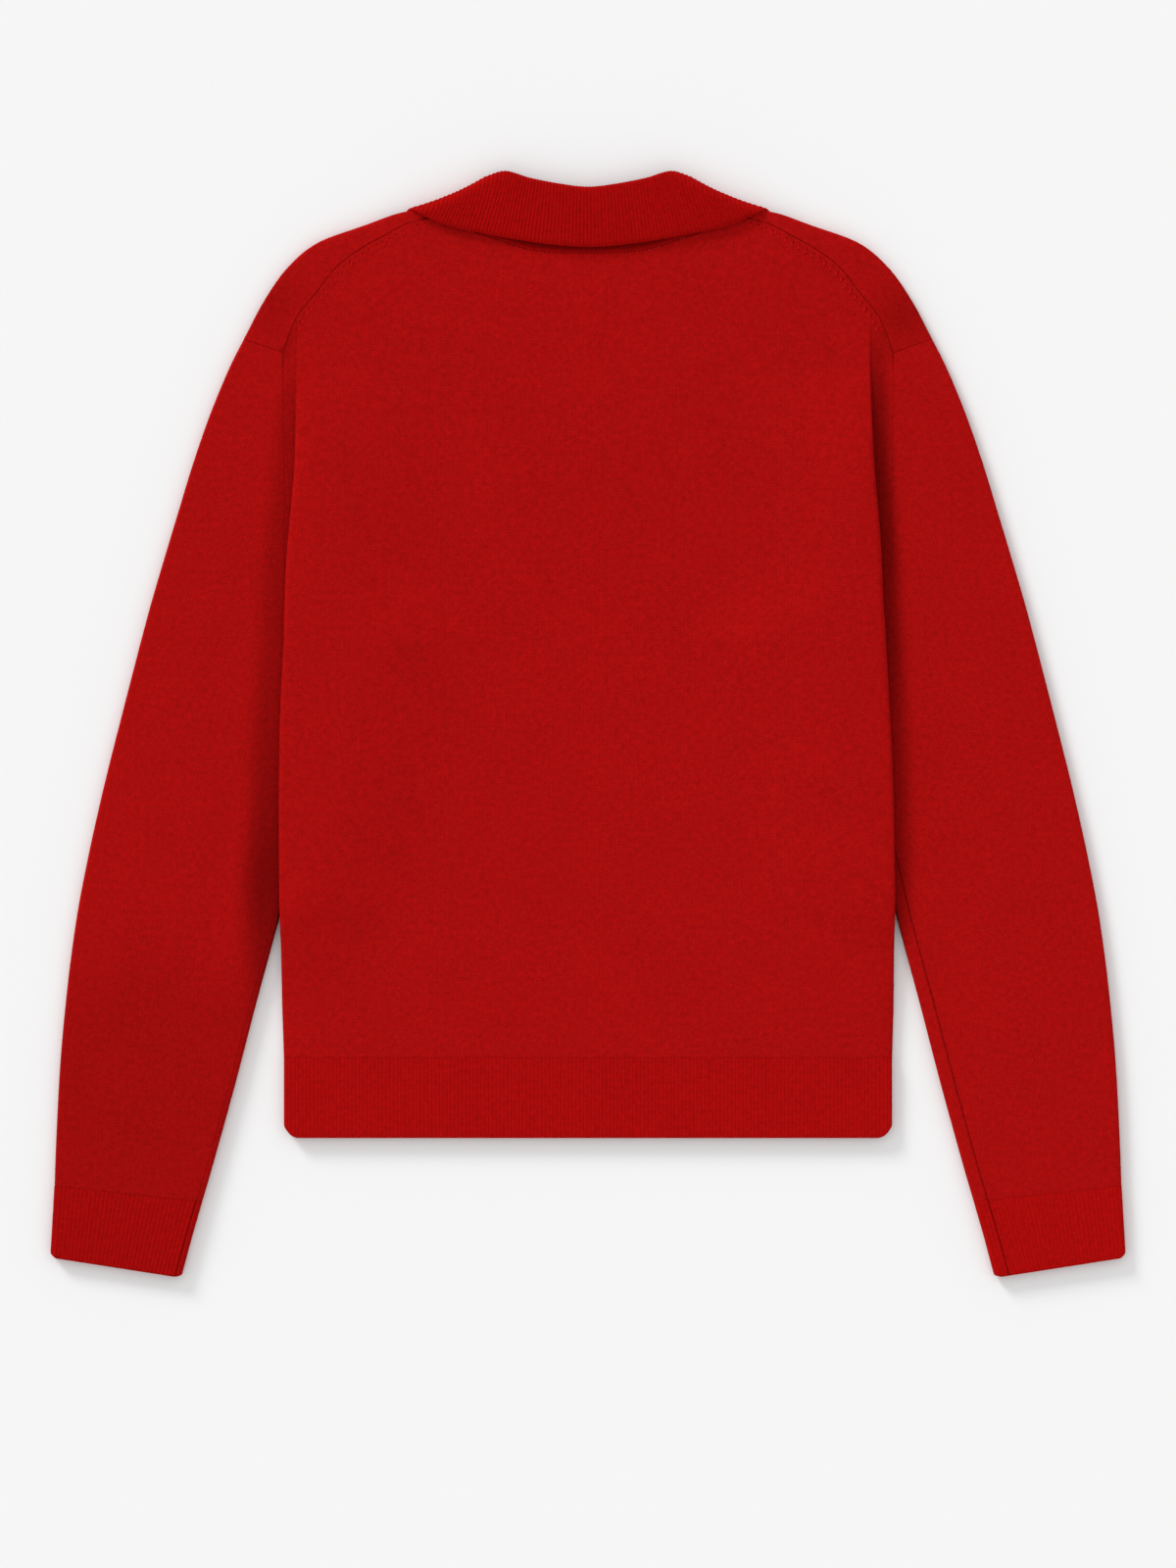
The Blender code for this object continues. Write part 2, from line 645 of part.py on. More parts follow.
class Lap:
    """The fold at the collar's side, which carries the strip round from the back to the front."""

    def __init__(self):
        low, high = np.array(LAP[0]), np.array(LAP[1])
        way = (high - low) / np.linalg.norm(high - low)
        self.out = np.array((way[1], -way[0]))
        self.start = low - self.out * (1.5 * COLLAR_LAYER + RIBBED / 2)
        self.middle = RIBBED / 2 + 1.5 * COLLAR_LAYER
        self.turn_length = math.pi * COLLAR_LAYER

    def open_out(self, point, under):
        """Where a point of the folded strip lies when the strip is opened out flat."""
        if not under:
            return point
        inside = np.dot(self.start - point, self.out)
        return point + self.out * (2 * inside + self.turn_length)

    def fold(self, point, stack):
        """A point of the flat strip, stack above its middle height, folded at the lap."""
        past = np.dot(point - self.start, self.out)
        if past <= 0:
            return (*point, self.middle + stack)
        base = point - self.out * past
        if past >= self.turn_length:
            return (*(base - self.out * (past - self.turn_length)), self.middle - stack)
        angle = past / COLLAR_LAYER
        return (*(base + self.out * stack * math.sin(angle)), self.middle + stack * math.cos(angle))


def collar_line(lap, name):
    """One of the collar's lines in the strip opened out flat."""
    rows = COLLAR.points(name + "_x", name + "_y", name + "_under")
    return np.array([lap.open_out(row[:2], row[2] > 0) for row in rows])


def collar_stations(edge):
    """Orders along the collar's edge, two to a rib where the ribs show, and their relief."""
    fine = np.linspace(0, RIBS_TO, 80 * RIBS_TO)
    curve = flow(edge, fine)
    ribs = rib_count(curve, RIB_PITCH)
    reached = np.concatenate([[0], np.cumsum(np.linalg.norm(np.diff(curve, axis=0), axis=1))])
    ribbed = np.interp(np.linspace(0, reached[-1], 2 * ribs + 1), reached, fine)
    plain = np.linspace(RIBS_TO, len(edge) - 1, COLLAR_ENDS + 1)[1:]
    return np.concatenate([ribbed, plain]), np.concatenate([ridges(ribs), 0 * plain])


def collar_column(lap, neck, roll, edge):
    """One line of the collar: up the plain stand, over the roll and down the ribbed fall.

    Each point has X, Y, Z and how much of the ribs' relief it has.
    """
    low = 0.5 * COLLAR_LAYER
    radius = COLLAR_LAYER / 2
    outward = roll - (neck + edge) / 2
    outward /= np.linalg.norm(outward)
    path = [(neck + (roll - neck) * t, low, 0) for t in np.linspace(0, 1, 2 * ARC_STEPS)]
    for reach, height in arc((0, low + radius), radius, -90, 90)[1:-1]:
        path.append((roll + outward * reach, height, (height - low) / (2 * radius)))
    path += [(roll + (edge - roll) * t, low + 2 * radius, 1) for t in np.linspace(0, 1, 4 * ARC_STEPS)]
    folded = [(*lap.fold(place, stack), ribbed) for place, stack, ribbed in path]
    return resample(folded, COLLAR_ROWS, bend=40 * MM)


def build_collar():
    lap = Lap()
    neck, roll, edge = (collar_line(lap, name) for name in ("neck", "roll", "edge"))
    orders, relief = collar_stations(edge)
    lines = zip(flow(neck, orders), flow(roll, orders), flow(edge, orders))
    right = np.array([collar_column(lap, *ends) for ends in lines]).transpose(1, 0, 2)
    raised = relief * right[:, :, 3]
    raised = np.concatenate([raised[:, :0:-1], raised], axis=1)
    wall("collar", mirrored(right[:, :, :3]), RIBBED, COLLAR_RED, raised)


def main():
    for item in list(bpy.data.objects):
        bpy.data.objects.remove(item, do_unlink=True)
    build_back()
    build_front()
    for name, side in (("left", -1), ("right", 1)):
        build_sleeve("sleeve_" + name, side)
        build_cuff("cuff_" + name, side)
    build_hem_back()
    build_hem_front()
    build_collar()


main()
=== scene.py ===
"""Dresses a red cashmere sweater with a ribbed collar, laid flat on its front, back up.

Metres, +Z up, +Y from the hem to the collar. The tables give sizes in millimetres for the right half
(+X), which is mirrored for the left. Each piece of the garment is a sheet of cloth: a fine grid on its
middle surface is worked out from the tables, given the loft and the creases of the whole garment, and
thickened. Layers are counted from the surface that the garment lies on.
"""

import logging
import math
from collections.abc import Iterable, Sequence
from dataclasses import dataclass, field
from enum import Enum

import bpy
import numpy as np
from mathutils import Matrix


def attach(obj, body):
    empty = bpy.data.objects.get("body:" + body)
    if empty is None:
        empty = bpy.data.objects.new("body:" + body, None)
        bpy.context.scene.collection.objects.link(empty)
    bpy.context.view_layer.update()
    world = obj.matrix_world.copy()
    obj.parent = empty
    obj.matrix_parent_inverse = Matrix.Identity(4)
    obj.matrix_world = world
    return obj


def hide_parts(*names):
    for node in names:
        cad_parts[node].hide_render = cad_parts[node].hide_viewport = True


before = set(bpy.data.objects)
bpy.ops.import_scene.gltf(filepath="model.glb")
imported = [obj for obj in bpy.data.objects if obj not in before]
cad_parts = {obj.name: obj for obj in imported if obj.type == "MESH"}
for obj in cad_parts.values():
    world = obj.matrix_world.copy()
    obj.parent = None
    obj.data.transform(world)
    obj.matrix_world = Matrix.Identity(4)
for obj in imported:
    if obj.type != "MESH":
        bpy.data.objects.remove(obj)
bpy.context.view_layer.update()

MM = 0.001
LOG = logging.getLogger("sweater")

CLOTH = 1.8 * MM  # thickness of the plain knit
RIBBED = 2.0 * MM  # thickness of the ribbed bands and the collar
LAYER = 2.4 * MM  # height from one layer of plain knit to the next
COLLAR_LAYER = 2.9 * MM  # the same for the ribbed cloth of the collar
JOIN = 0.08 * MM  # gap between two sewn edges
RIB_PITCH = 2.46 * MM
CUFF_RIB_PITCH = 2.8 * MM
RESTING = 1.8 * MM  # cloth that lies lower than this has its ribs carved in, not raised
STEP = 3.0 * MM  # from one row of a grid to the next
RIB_COLUMNS = 6  # columns to a rib where the ribs show
ARC_STEPS = 20
FREE_EDGE = (1.0 * MM, 0.45 * MM, 0.12 * MM, 0.0)  # from a free edge to the grid's last rows
FOLD_BEND = 6 * MM  # the length that a radian of turn counts for where a section is folded
COINCIDENT = 1e-7  # points of a path nearer to each other than this count as one
FAR = 1.0  # further than the groove of any seam reaches

HEM_TOP = -216.2 * MM
HEM_END = -268.2 * MM
YOKE = 230.2 * MM  # the first level section of the back
FRONT_YOKE = 199.0 * MM  # the first level section of the front
TAIL_END = 63.0 * MM  # from here up the armhole seam is reached by a second fold under the tuck
UNDERARM = 53.0 * MM


class Side(Enum):
    """The two halves of the garment, as the sign of X."""

    LEFT = -1
    RIGHT = 1


class Stitch(Enum):
    """How a cloth is knitted."""

    JERSEY = "jersey"
    RIB = "rib"


class Border(Enum):
    """The four edges of a piece's grid."""

    FIRST_ROW = "first row"
    LAST_ROW = "last row"
    FIRST_COLUMN = "first column"
    LAST_COLUMN = "last column"


# Numbers and paths


class Table:
    """Rows of millimetres under named columns, read on smooth curves along the first column."""

    def __init__(self, names: str, *rows: Sequence[float]) -> None:
        """Keeps the rows in rising order.

        Args:
            names: the columns' names, parted by spaces.
            rows: the rows, a number to each column.
        """
        self.names = names.split()
        self.rows = np.array(sorted(rows), float)

    def number(self, name: str, at: float | np.ndarray) -> float | np.ndarray:
        """Reads a column as it is written.

        Args:
            name: the column.
            at: where to read it along the first column.

        Returns:
            What stands there, or between the rows what a smooth curve gives.
        """
        column = self.rows[:, self.names.index(name)]
        low, high = self.rows[0, 0], self.rows[-1, 0]
        found = smooth_rows(column, self.rows[:, 0], np.clip(np.ravel(at), low, high))
        return found.reshape(np.shape(at)) if np.ndim(at) else float(found[0])

    def length(self, name: str, at: float | np.ndarray) -> float | np.ndarray:
        """Reads a column of lengths at a length, both in metres."""
        return self.number(name, np.asarray(at) / MM if np.ndim(at) else at / MM) * MM

    def points(self, *names: str) -> np.ndarray:
        """Returns the named columns side by side, in metres."""
        return self.rows[:, [self.names.index(name) for name in names]] * MM


def smooth_rows(rows: np.ndarray, keys: Sequence[float], at: np.ndarray) -> np.ndarray:
    """Reads rows of values on smooth curves between their keys, which never swing past the rows.

    Args:
        rows: values, or arrays of the same shape, one for each key.
        keys: rising numbers.
        at: where to read between them.

    Returns:
        What was read, stacked.
    """
    rows = np.asarray(rows, float)
    keys = np.asarray(keys, float)
    at = np.asarray(at, float)
    shape = (-1,) + (1,) * (rows.ndim - 1)
    width = np.diff(keys).reshape(shape)
    rise = np.diff(rows, axis=0) / width
    agree = rise[1:] * rise[:-1] > 0
    total = np.where(agree, rise[1:] + rise[:-1], 1.0)
    inner = np.where(agree, 2 * rise[1:] * rise[:-1] / total, 0.0)
    slopes = np.concatenate([rise[:1], inner, rise[-1:]])
    index = np.clip(np.searchsorted(keys, at, side="right") - 1, 0, len(keys) - 2)
    step = width[index]
    t = (at - keys[index]).reshape(shape) / step
    start = (1 + 2 * t) * (1 - t) ** 2 * rows[index] + t * (1 - t) ** 2 * step * slopes[index]
    end = t * t * (3 - 2 * t) * rows[index + 1] + t * t * (t - 1) * step * slopes[index + 1]
    return start + end


def ease(t: float | np.ndarray) -> float | np.ndarray:
    """Returns a smooth step from 0 to 1 as t goes from 0 to 1."""
    t = np.clip(t, 0.0, 1.0)
    return t * t * (3 - 2 * t)


def layer(number: float) -> float:
    """Returns the height of the middle of a layer of plain knit."""
    return CLOTH / 2 + (number - 1) * LAYER


def arc(centre: tuple[float, float], radius: float, start: float, end: float) -> list:
    """Returns points along an arc between two angles in degrees, in the plane of its centre."""
    angles = np.radians(np.linspace(start, end, ARC_STEPS + 1))
    return [(centre[0] + radius * math.cos(a), centre[1] + radius * math.sin(a)) for a in angles]


def resample(path: Iterable, count: int, bend: float = 0.0) -> np.ndarray:
    """Spaces points along a path, closer together where it turns.

    Args:
        path: points with X, Y and Z, and any values that go with them.
        count: how many points to return.
        bend: the length that a radian of turn counts for.

    Returns:
        The points, as rows.
    """
    path = np.array([tuple(point) for point in path], float)
    size = np.linalg.norm(np.diff(path[:, :3], axis=0), axis=1)
    path = path[np.concatenate([[True], size > COINCIDENT])]
    size = size[size > COINCIDENT]
    way = np.diff(path[:, :3], axis=0) / size[:, None]
    turn = np.arccos(np.clip((way[1:] * way[:-1]).sum(axis=1), -1, 1)) * bend
    size[1:] += turn / 2
    size[:-1] += turn / 2
    reached = np.concatenate([[0], np.cumsum(size)])
    wanted = np.linspace(0, reached[-1], count)
    return np.stack([np.interp(wanted, reached, values) for values in path.T], axis=1)


def flow(points: np.ndarray, at: np.ndarray) -> np.ndarray:
    """Reads a flowing curve through points, mirrored at the first.

    Args:
        points: X and Y of the points, as rows.
        at: where to read, as fractions of the points' order.

    Returns:
        Points on the curve, as rows.
    """
    points = np.asarray(points, float)
    padded = np.concatenate([[points[1] * (-1, 1)], points, [2 * points[-1] - points[-2]]])
    index = np.minimum(at.astype(int), len(points) - 2)
    t = (at - index)[:, None]
    a, b, c, d = (padded[index + step] for step in range(4))
    return b + 0.5 * t * (c - a + t * (2 * a - 5 * b + 4 * c - d + t * (3 * (b - c) + d - a)))


def reached(grid: np.ndarray, axis: int) -> np.ndarray:
    """Returns how far along its row (axis 1) or column (axis 0) each point of a grid is."""
    steps = np.linalg.norm(np.diff(grid, axis=axis), axis=2)
    return np.cumsum(np.insert(steps, 0, 0.0, axis=axis), axis=axis)


def halves(left: np.ndarray, right: np.ndarray) -> np.ndarray:
    """Returns a grid of the whole width from the two halves, each from the middle out at +X."""
    return np.concatenate([left[:, :0:-1] * (-1, 1, 1), right], axis=1)


def path_length(path: Iterable) -> float:
    """Returns the length of a path."""
    return float(np.linalg.norm(np.diff(path, axis=0), axis=1).sum())


def edge_spaced(length: float, free_end: bool) -> np.ndarray:
    """Spaces the rows of a grid, close together at a free end.

    Args:
        length: the length that the rows take up.
        free_end: whether the last row is a free edge.

    Returns:
        Shares of the length, from 0 to 1.
    """
    shares = np.linspace(0, 1, max(2, round(length / STEP)) + 1)
    if free_end:
        shares = np.concatenate([shares[:-1], 1 - np.array(FREE_EDGE) / length])
    return shares


# Tables of the cut

# Sections of the body. crest: the edge of the body where it lies over the sleeve; lean: what the left
# crest lies further out and the right one further in; drop: how far the cloth falls there; turn: the
# degrees it folds through; tuck: how far it is folded back under; seam: the armhole seam; rise: where
# the body has climbed onto what lies under it; front: the edge of the front panel at the armhole.
BODY = Table(
    "y crest lean drop turn tuck seam rise front",
    (230.2, 186.0, 2.5, 1.4, 40, 0, 197.6, 190.0, 213.4),
    (199.0, 186.6, 2.6, 4.4, 88, 0, 197.2, 190.0, 199.0),
    (168.0, 187.7, 2.3, 6.6, 110, 0, 196.8, 191.0, 195.6),
    (137.5, 190.2, 2.2, 7.2, 120, 0, 196.5, 191.0, 193.9),
    (110.0, 192.4, 2.5, 7.2, 140, 0, 196.8, 189.0, 188.6),
    (92.0, 193.2, 2.6, 7.2, 180, 7, 192.5, 183.0, 182.0),
    (76.0, 193.8, 2.5, 7.2, 180, 19, 181.5, 171.0, 172.0),
    (63.0, 194.5, 2.2, 7.2, 180, 31, 169.0, 160.0, 158.0),
    (53.0, 194.8, 2.0, 7.2, 180, 39, 157.0, 154.0, 146.0),
    (43.0, 195.4, 2.0, 7.0, 180, 36, 160.0, 156.0, 158.0),
    (27.0, 196.3, 2.0, 6.8, 180, 23, 173.5, 160.5, 173.0),
    (8.0, 197.2, 1.9, 6.6, 180, 10, 187.5, 165.5, 187.0),
    (-12.0, 198.0, 1.6, 6.4, 180, 7, 193.0, 170.5, 192.6),
    (-60.0, 199.0, 1.0, 6.0, 180, 7, 194.0, 183.5, 193.6),
    (-110.0, 199.3, 0.5, 5.4, 180, 6, 194.3, 196.2, 193.9),
    (-130.0, 198.9, 0.4, 5.0, 180, 6, 193.4, 213.4, 193.0),
    (-146.0, 198.4, 0.3, 4.8, 180, 6, 193.4, 220.4, 193.0),
    (-180.0, 198.0, 0.1, 4.8, 180, 6, 193.0, 227.5, 192.6),
    (-216.2, 197.0, 0.0, 4.8, 180, 6, 192.0, 232.5, 191.6),
    (-268.2, 196.2, 0.0, 4.8, 180, 6, 191.2, 232.5, 190.8),
)
CLIMB_WIDTH = 24 * MM
CLIMB_LEAD = 34 * MM  # how far the climb's foot lies in from the rise
BACK_LEAD = 66 * MM  # how much further in the back's climb starts
FRONT_CLIMB = 15 * MM

# The shade of the deep folds beside the body's crests: how far out from the crest it reaches, and how
# much of the cloth's light it takes
VALLEY = Table(
    "y right_reach right_shade left_reach left_shade",
    (262, 10, 0.0, 7, 0.0),
    (250, 12, 0.14, 7, 0.0),
    (229, 14, 0.34, 10, 0.08),
    (205, 15, 0.46, 16, 0.2),
    (170, 16, 0.5, 20, 0.22),
    (107, 16, 0.47, 22, 0.24),
    (46, 16, 0.43, 23, 0.26),
    (0, 17, 0.32, 25, 0.32),
    (-60, 17, 0.32, 28, 0.42),
    (-102, 16, 0.34, 32, 0.5),
    (-140, 14, 0.28, 32, 0.4),
    (-165, 12, 0.0, 31, 0.3),
    (-190, 10, 0.0, 30, 0.15),
    (-235, 10, 0.0, 28, 0.0),
)

VALLEY_FULL = 0.35  # share of the reach over which the shade is full

# Painted shade in soft spots on the cloth that comes over the shoulders: place, radius and the light
# that it takes
SHOULDER_SHADE = Table("order x y radius depth", (1, 204, 264, 21, 0.24), (2, -205, 276, 18, 0.15))

# Edge of the back panel, from the middle of the neck to the point of the shoulder seam
BACK_EDGE = Table(
    "x y",
    (0, 304.0),
    (22, 304.6),
    (40, 307.0),
    (56, 312.0),
    (76, 318.9),
    (98, 328.0),
    (117, 323.3),
    (131, 315.9),
    (143.5, 309.2),
    (162, 296.0),
    (175.3, 279.5),
    (188.6, 262.5),
    (197.6, 240.0),
)
# The front panel comes over the shoulder to the same seam. fold: where the shoulder's edge is;
# foot: where the same line of cloth reaches the front's first level section.
SHOULDER = Table(
    "order seam_x seam_y fold_x fold_y foot_x",
    (0, 98.2, 328.3, 100.0, 334.4, 95),
    (1, 117.1, 323.5, 112.5, 332.2, 109),
    (2, 131.1, 316.1, 122.5, 330.0, 118),
    (3, 143.6, 309.4, 143.5, 322.9, 138),
    (4, 162.1, 296.2, 176.0, 310.8, 157),
    (5, 175.4, 279.7, 195.0, 294.8, 173),
    (6, 188.7, 262.7, 210.8, 272.0, 187),
    (7, 197.8, 240.1, 222.9, 249.0, 199),
)
NECK_FOOT = 85 * MM
V_NECK = Table("x y foot_x", (0, 230.0, 0), (30, 259.4, 26), (60, 288.8, 52), (91, 320.0, 76))

# Sections of a sleeve and of a cuff: the outer edge, the height of the inner end and, past the
# underarm, the inner fold
SLEEVE = Table(
    "order outer_x outer_y inner_y inner_x",
    (0, 222.9, 248.9, 230.2, 151),
    (1, 231.0, 233.0, 218.0, 151),
    (2, 244.0, 202.0, 199.0, 151),
    (3, 256.0, 167.5, 168.0, 151),
    (4, 265.6, 136.0, 137.5, 151),
    (5, 273.6, 109.5, 110.0, 151),
    (6, 278.8, 92.0, 92.0, 151),
    (7, 283.3, 76.5, 76.0, 151),
    (8, 287.2, 62.0, 63.0, 151),
    (9, 290.4, 50.0, 53.0, 154.4),
    (10, 294.5, 34.0, 38.5, 158.0),
    (11, 303.0, 1.0, 5.5, 166.5),
    (12, 314.0, -43.0, -38.0, 178.0),
    (13, 324.0, -88.0, -84.5, 190.0),
    (14, 331.0, -125.0, -128.0, 200.5),
    (15, 337.6, -175.0, -180.0, 214.5),
    (16, 342.2, -227.0, -236.5, 229.2),
    (17, 344.9, -283.0, -294.0, 245.2),
    (18, 345.4, -299.1, -309.5, 249.8),
)
CUFF = Table(
    "order outer_x outer_y inner_y inner_x",
    (0, 345.4, -299.2, -309.6, 249.9),
    (1, 346.6, -321.0, -332.0, 256.4),
    (2, 348.0, -345.6, -358.7, 263.6),
)

# The collar: neck edge, roll and outer edge from the middle of the back to the front end. under: 1
# where that point is on the front's side. The strip is opened out flat, and then folded at LAP.
COLLAR = Table(
    "order neck_x neck_y neck_under roll_x roll_y roll_under edge_x edge_y edge_under",
    (0, 0.0, 304.1, 0, 0.0, 344.7, 0, 0.0, 308.0, 0),
    (1, 21.0, 304.7, 0, 19.0, 346.8, 0, 21.5, 309.4, 0),
    (2, 39.5, 307.1, 0, 37.5, 350.4, 0, 43.5, 312.4, 0),
    (3, 57.0, 312.6, 0, 55.0, 354.9, 0, 66.0, 316.4, 0),
    (4, 75.0, 319.1, 0, 76.0, 345.0, 1, 88.5, 321.2, 0),
    (5, 91.0, 328.0, 0, 76.3, 330.0, 1, 106.2, 329.0, 0),
    (6, 92.5, 330.0, 1, 73.0, 318.0, 1, 116.8, 322.0, 1),
    (7, 70.0, 300.3, 1, 60.0, 309.5, 1, 97.0, 284.0, 1),
    (8, 36.0, 267.2, 1, 27.0, 277.0, 1, 62.0, 241.0, 1),
    (9, 12.5, 244.2, 1, 7.5, 254.5, 1, 38.0, 213.0, 1),
    (10, 0.8, 233.0, 1, 3.4, 244.5, 1, 27.6, 200.0, 1),
)
LAP = ((117.0 * MM, 332.8 * MM), (60.0 * MM, 356.3 * MM))  # the collar's side edge, from above

# The collar's front leaf lies under the panels: it lifts them over a strip beside its outer edge
LEAF_LIFT = 3.0 * MM
LEAF_TIP = (28 * MM, 200 * MM)
LEAF_OUT = (0.824, -0.566)  # the way out from the leaf's edge
LEAF_REACH = 8 * MM
FRONT_FALL = 20 * MM
BACK_FALL = 80 * MM

# How faint the grooves of some seams are: their distance is counted from this far beside them
RIB_FAINT = 0.45 * MM  # where a rib joins plain knit
FRONT_RIB_FAINT = 0.3 * MM
ARMHOLE_FAINT = 0.35 * MM

# Soft ridges and troughs of the whole garment, each along a line
CREASES = Table(
    "order x0 y0 x1 y1 width height",
    (1, -150, 250, -95, 130, 26, 0.5),
    (2, 140, 240, 100, 120, 24, 0.4),
    (3, -60, 100, 70, 60, 40, -0.5),
    (4, -120, -40, 20, -90, 42, 0.4),
    (5, 60, -20, 160, -60, 30, -0.4),
    (6, -230, 130, -262, 20, 12, 0.5),
    (7, 232, 150, 262, 40, 12, 0.5),
    (8, -285, -60, -310, -190, 13, 0.6),
    (9, 285, -50, 306, -200, 13, 0.6),
    (10, -215, -10, -252, -150, 10, -0.7),
    (11, 216, 0, 240, -120, 9, -0.5),
)


# Finishes


class Graph:
    """A short way to add nodes to a material."""

    def __init__(self, name: str) -> None:
        """Makes a material with its first shader.

        Args:
            name: the material's name.
        """
        self.material = bpy.data.materials.new(name)
        self.material.use_nodes = True
        self.tree = self.material.node_tree
        self.shader = self.tree.nodes["Principled BSDF"]

    def link(self, source: object, target: bpy.types.NodeSocket) -> None:
        """Feeds a socket.

        Args:
            source: another socket, or a plain value.
            target: the socket that is fed.
        """
        if isinstance(source, bpy.types.NodeSocket):
            self.tree.links.new(source, target)
        else:
            target.default_value = source

    def shade(self, values: dict[str, object]) -> None:
        """Feeds the shader's sockets, each by its name."""
        for name, value in values.items():
            self.link(value, self.shader.inputs[name])

    def math(self, operation: str, first: object, second: object = 0.0) -> bpy.types.NodeSocket:
        """Does a sum.

        Args:
            operation: the node's own word for it.
            first: a socket or a number.
            second: another one.

        Returns:
            The result.
        """
        made = self.tree.nodes.new("ShaderNodeMath")
        made.operation = operation
        self.link(first, made.inputs[0])
        self.link(second, made.inputs[1])
        return made.outputs["Value"]

    def add(self, *values: object) -> bpy.types.NodeSocket:
        """Adds up sockets and numbers.

        Args:
            values: what is added.

        Returns:
            The sum.
        """
        total = values[0]
        for value in values[1:]:
            total = self.math("ADD", total, value)
        return total

    def times(self, first: object, second: object) -> bpy.types.NodeSocket:
        """Returns a product."""
        return self.math("MULTIPLY", first, second)

    def wales(self) -> tuple[bpy.types.NodeSocket, bpy.types.NodeSocket]:
        """Reads the piece's own map.

        Returns:
            Metres across the piece's wales, and metres along them.
        """
        source = self.tree.nodes.new("ShaderNodeUVMap")
        source.uv_map = ClothPiece.MAP
        parted = self.tree.nodes.new("ShaderNodeSeparateXYZ")
        self.link(source.outputs["UV"], parted.inputs[0])
        return parted.outputs["X"], parted.outputs["Y"]

    def attribute(self, name: str) -> bpy.types.NodeSocket:
        """Reads a number that the piece's own points carry.

        Args:
            name: the attribute.

        Returns:
            The number.
        """
        source = self.tree.nodes.new("ShaderNodeAttribute")
        source.attribute_name = name
        return source.outputs["Fac"]

    def noise(self, scale: float) -> bpy.types.NodeSocket:
        """Makes noise in the object's own space.

        Args:
            scale: how many features there are to the metre.

        Returns:
            Noise round 0, about 0.3 either way.
        """
        place = self.tree.nodes.new("ShaderNodeTexCoord")
        made = self.tree.nodes.new("ShaderNodeTexNoise")
        made.inputs["Scale"].default_value = scale
        self.link(place.outputs["Object"], made.inputs["Vector"])
        return self.math("SUBTRACT", made.outputs["Fac"], 0.5)

    def bump(self, height: bpy.types.NodeSocket, relief: float) -> bpy.types.NodeSocket:
        """Turns a height into relief.

        Args:
            height: heights, about 0 to 1.
            relief: what a height of 1 stands for, in metres.

        Returns:
            The surface's direction.
        """
        made = self.tree.nodes.new("ShaderNodeBump")
        made.inputs["Strength"].default_value = 1.0
        made.inputs["Distance"].default_value = relief
        self.link(height, made.inputs["Height"])
        return made.outputs["Normal"]

    def tinted(self, colour: tuple[float, float, float], share: object) -> bpy.types.NodeSocket:
        """Makes a colour brighter or darker.

        Args:
            colour: the colour.
            share: how much of it there is, 1 for the colour as it stands.

        Returns:
            The new colour.
        """
        made = self.tree.nodes.new("ShaderNodeVectorMath")
        made.operation = "SCALE"
        made.inputs[0].default_value = colour
        self.link(share, made.inputs["Scale"])
        return made.outputs["Vector"]


CROWN = {Stitch.JERSEY: 0.7, Stitch.RIB: 1.0}  # how far a wale's middle stands over its sides
SPECULAR = 0.02  # the gloss of cashmere, which is all but matt


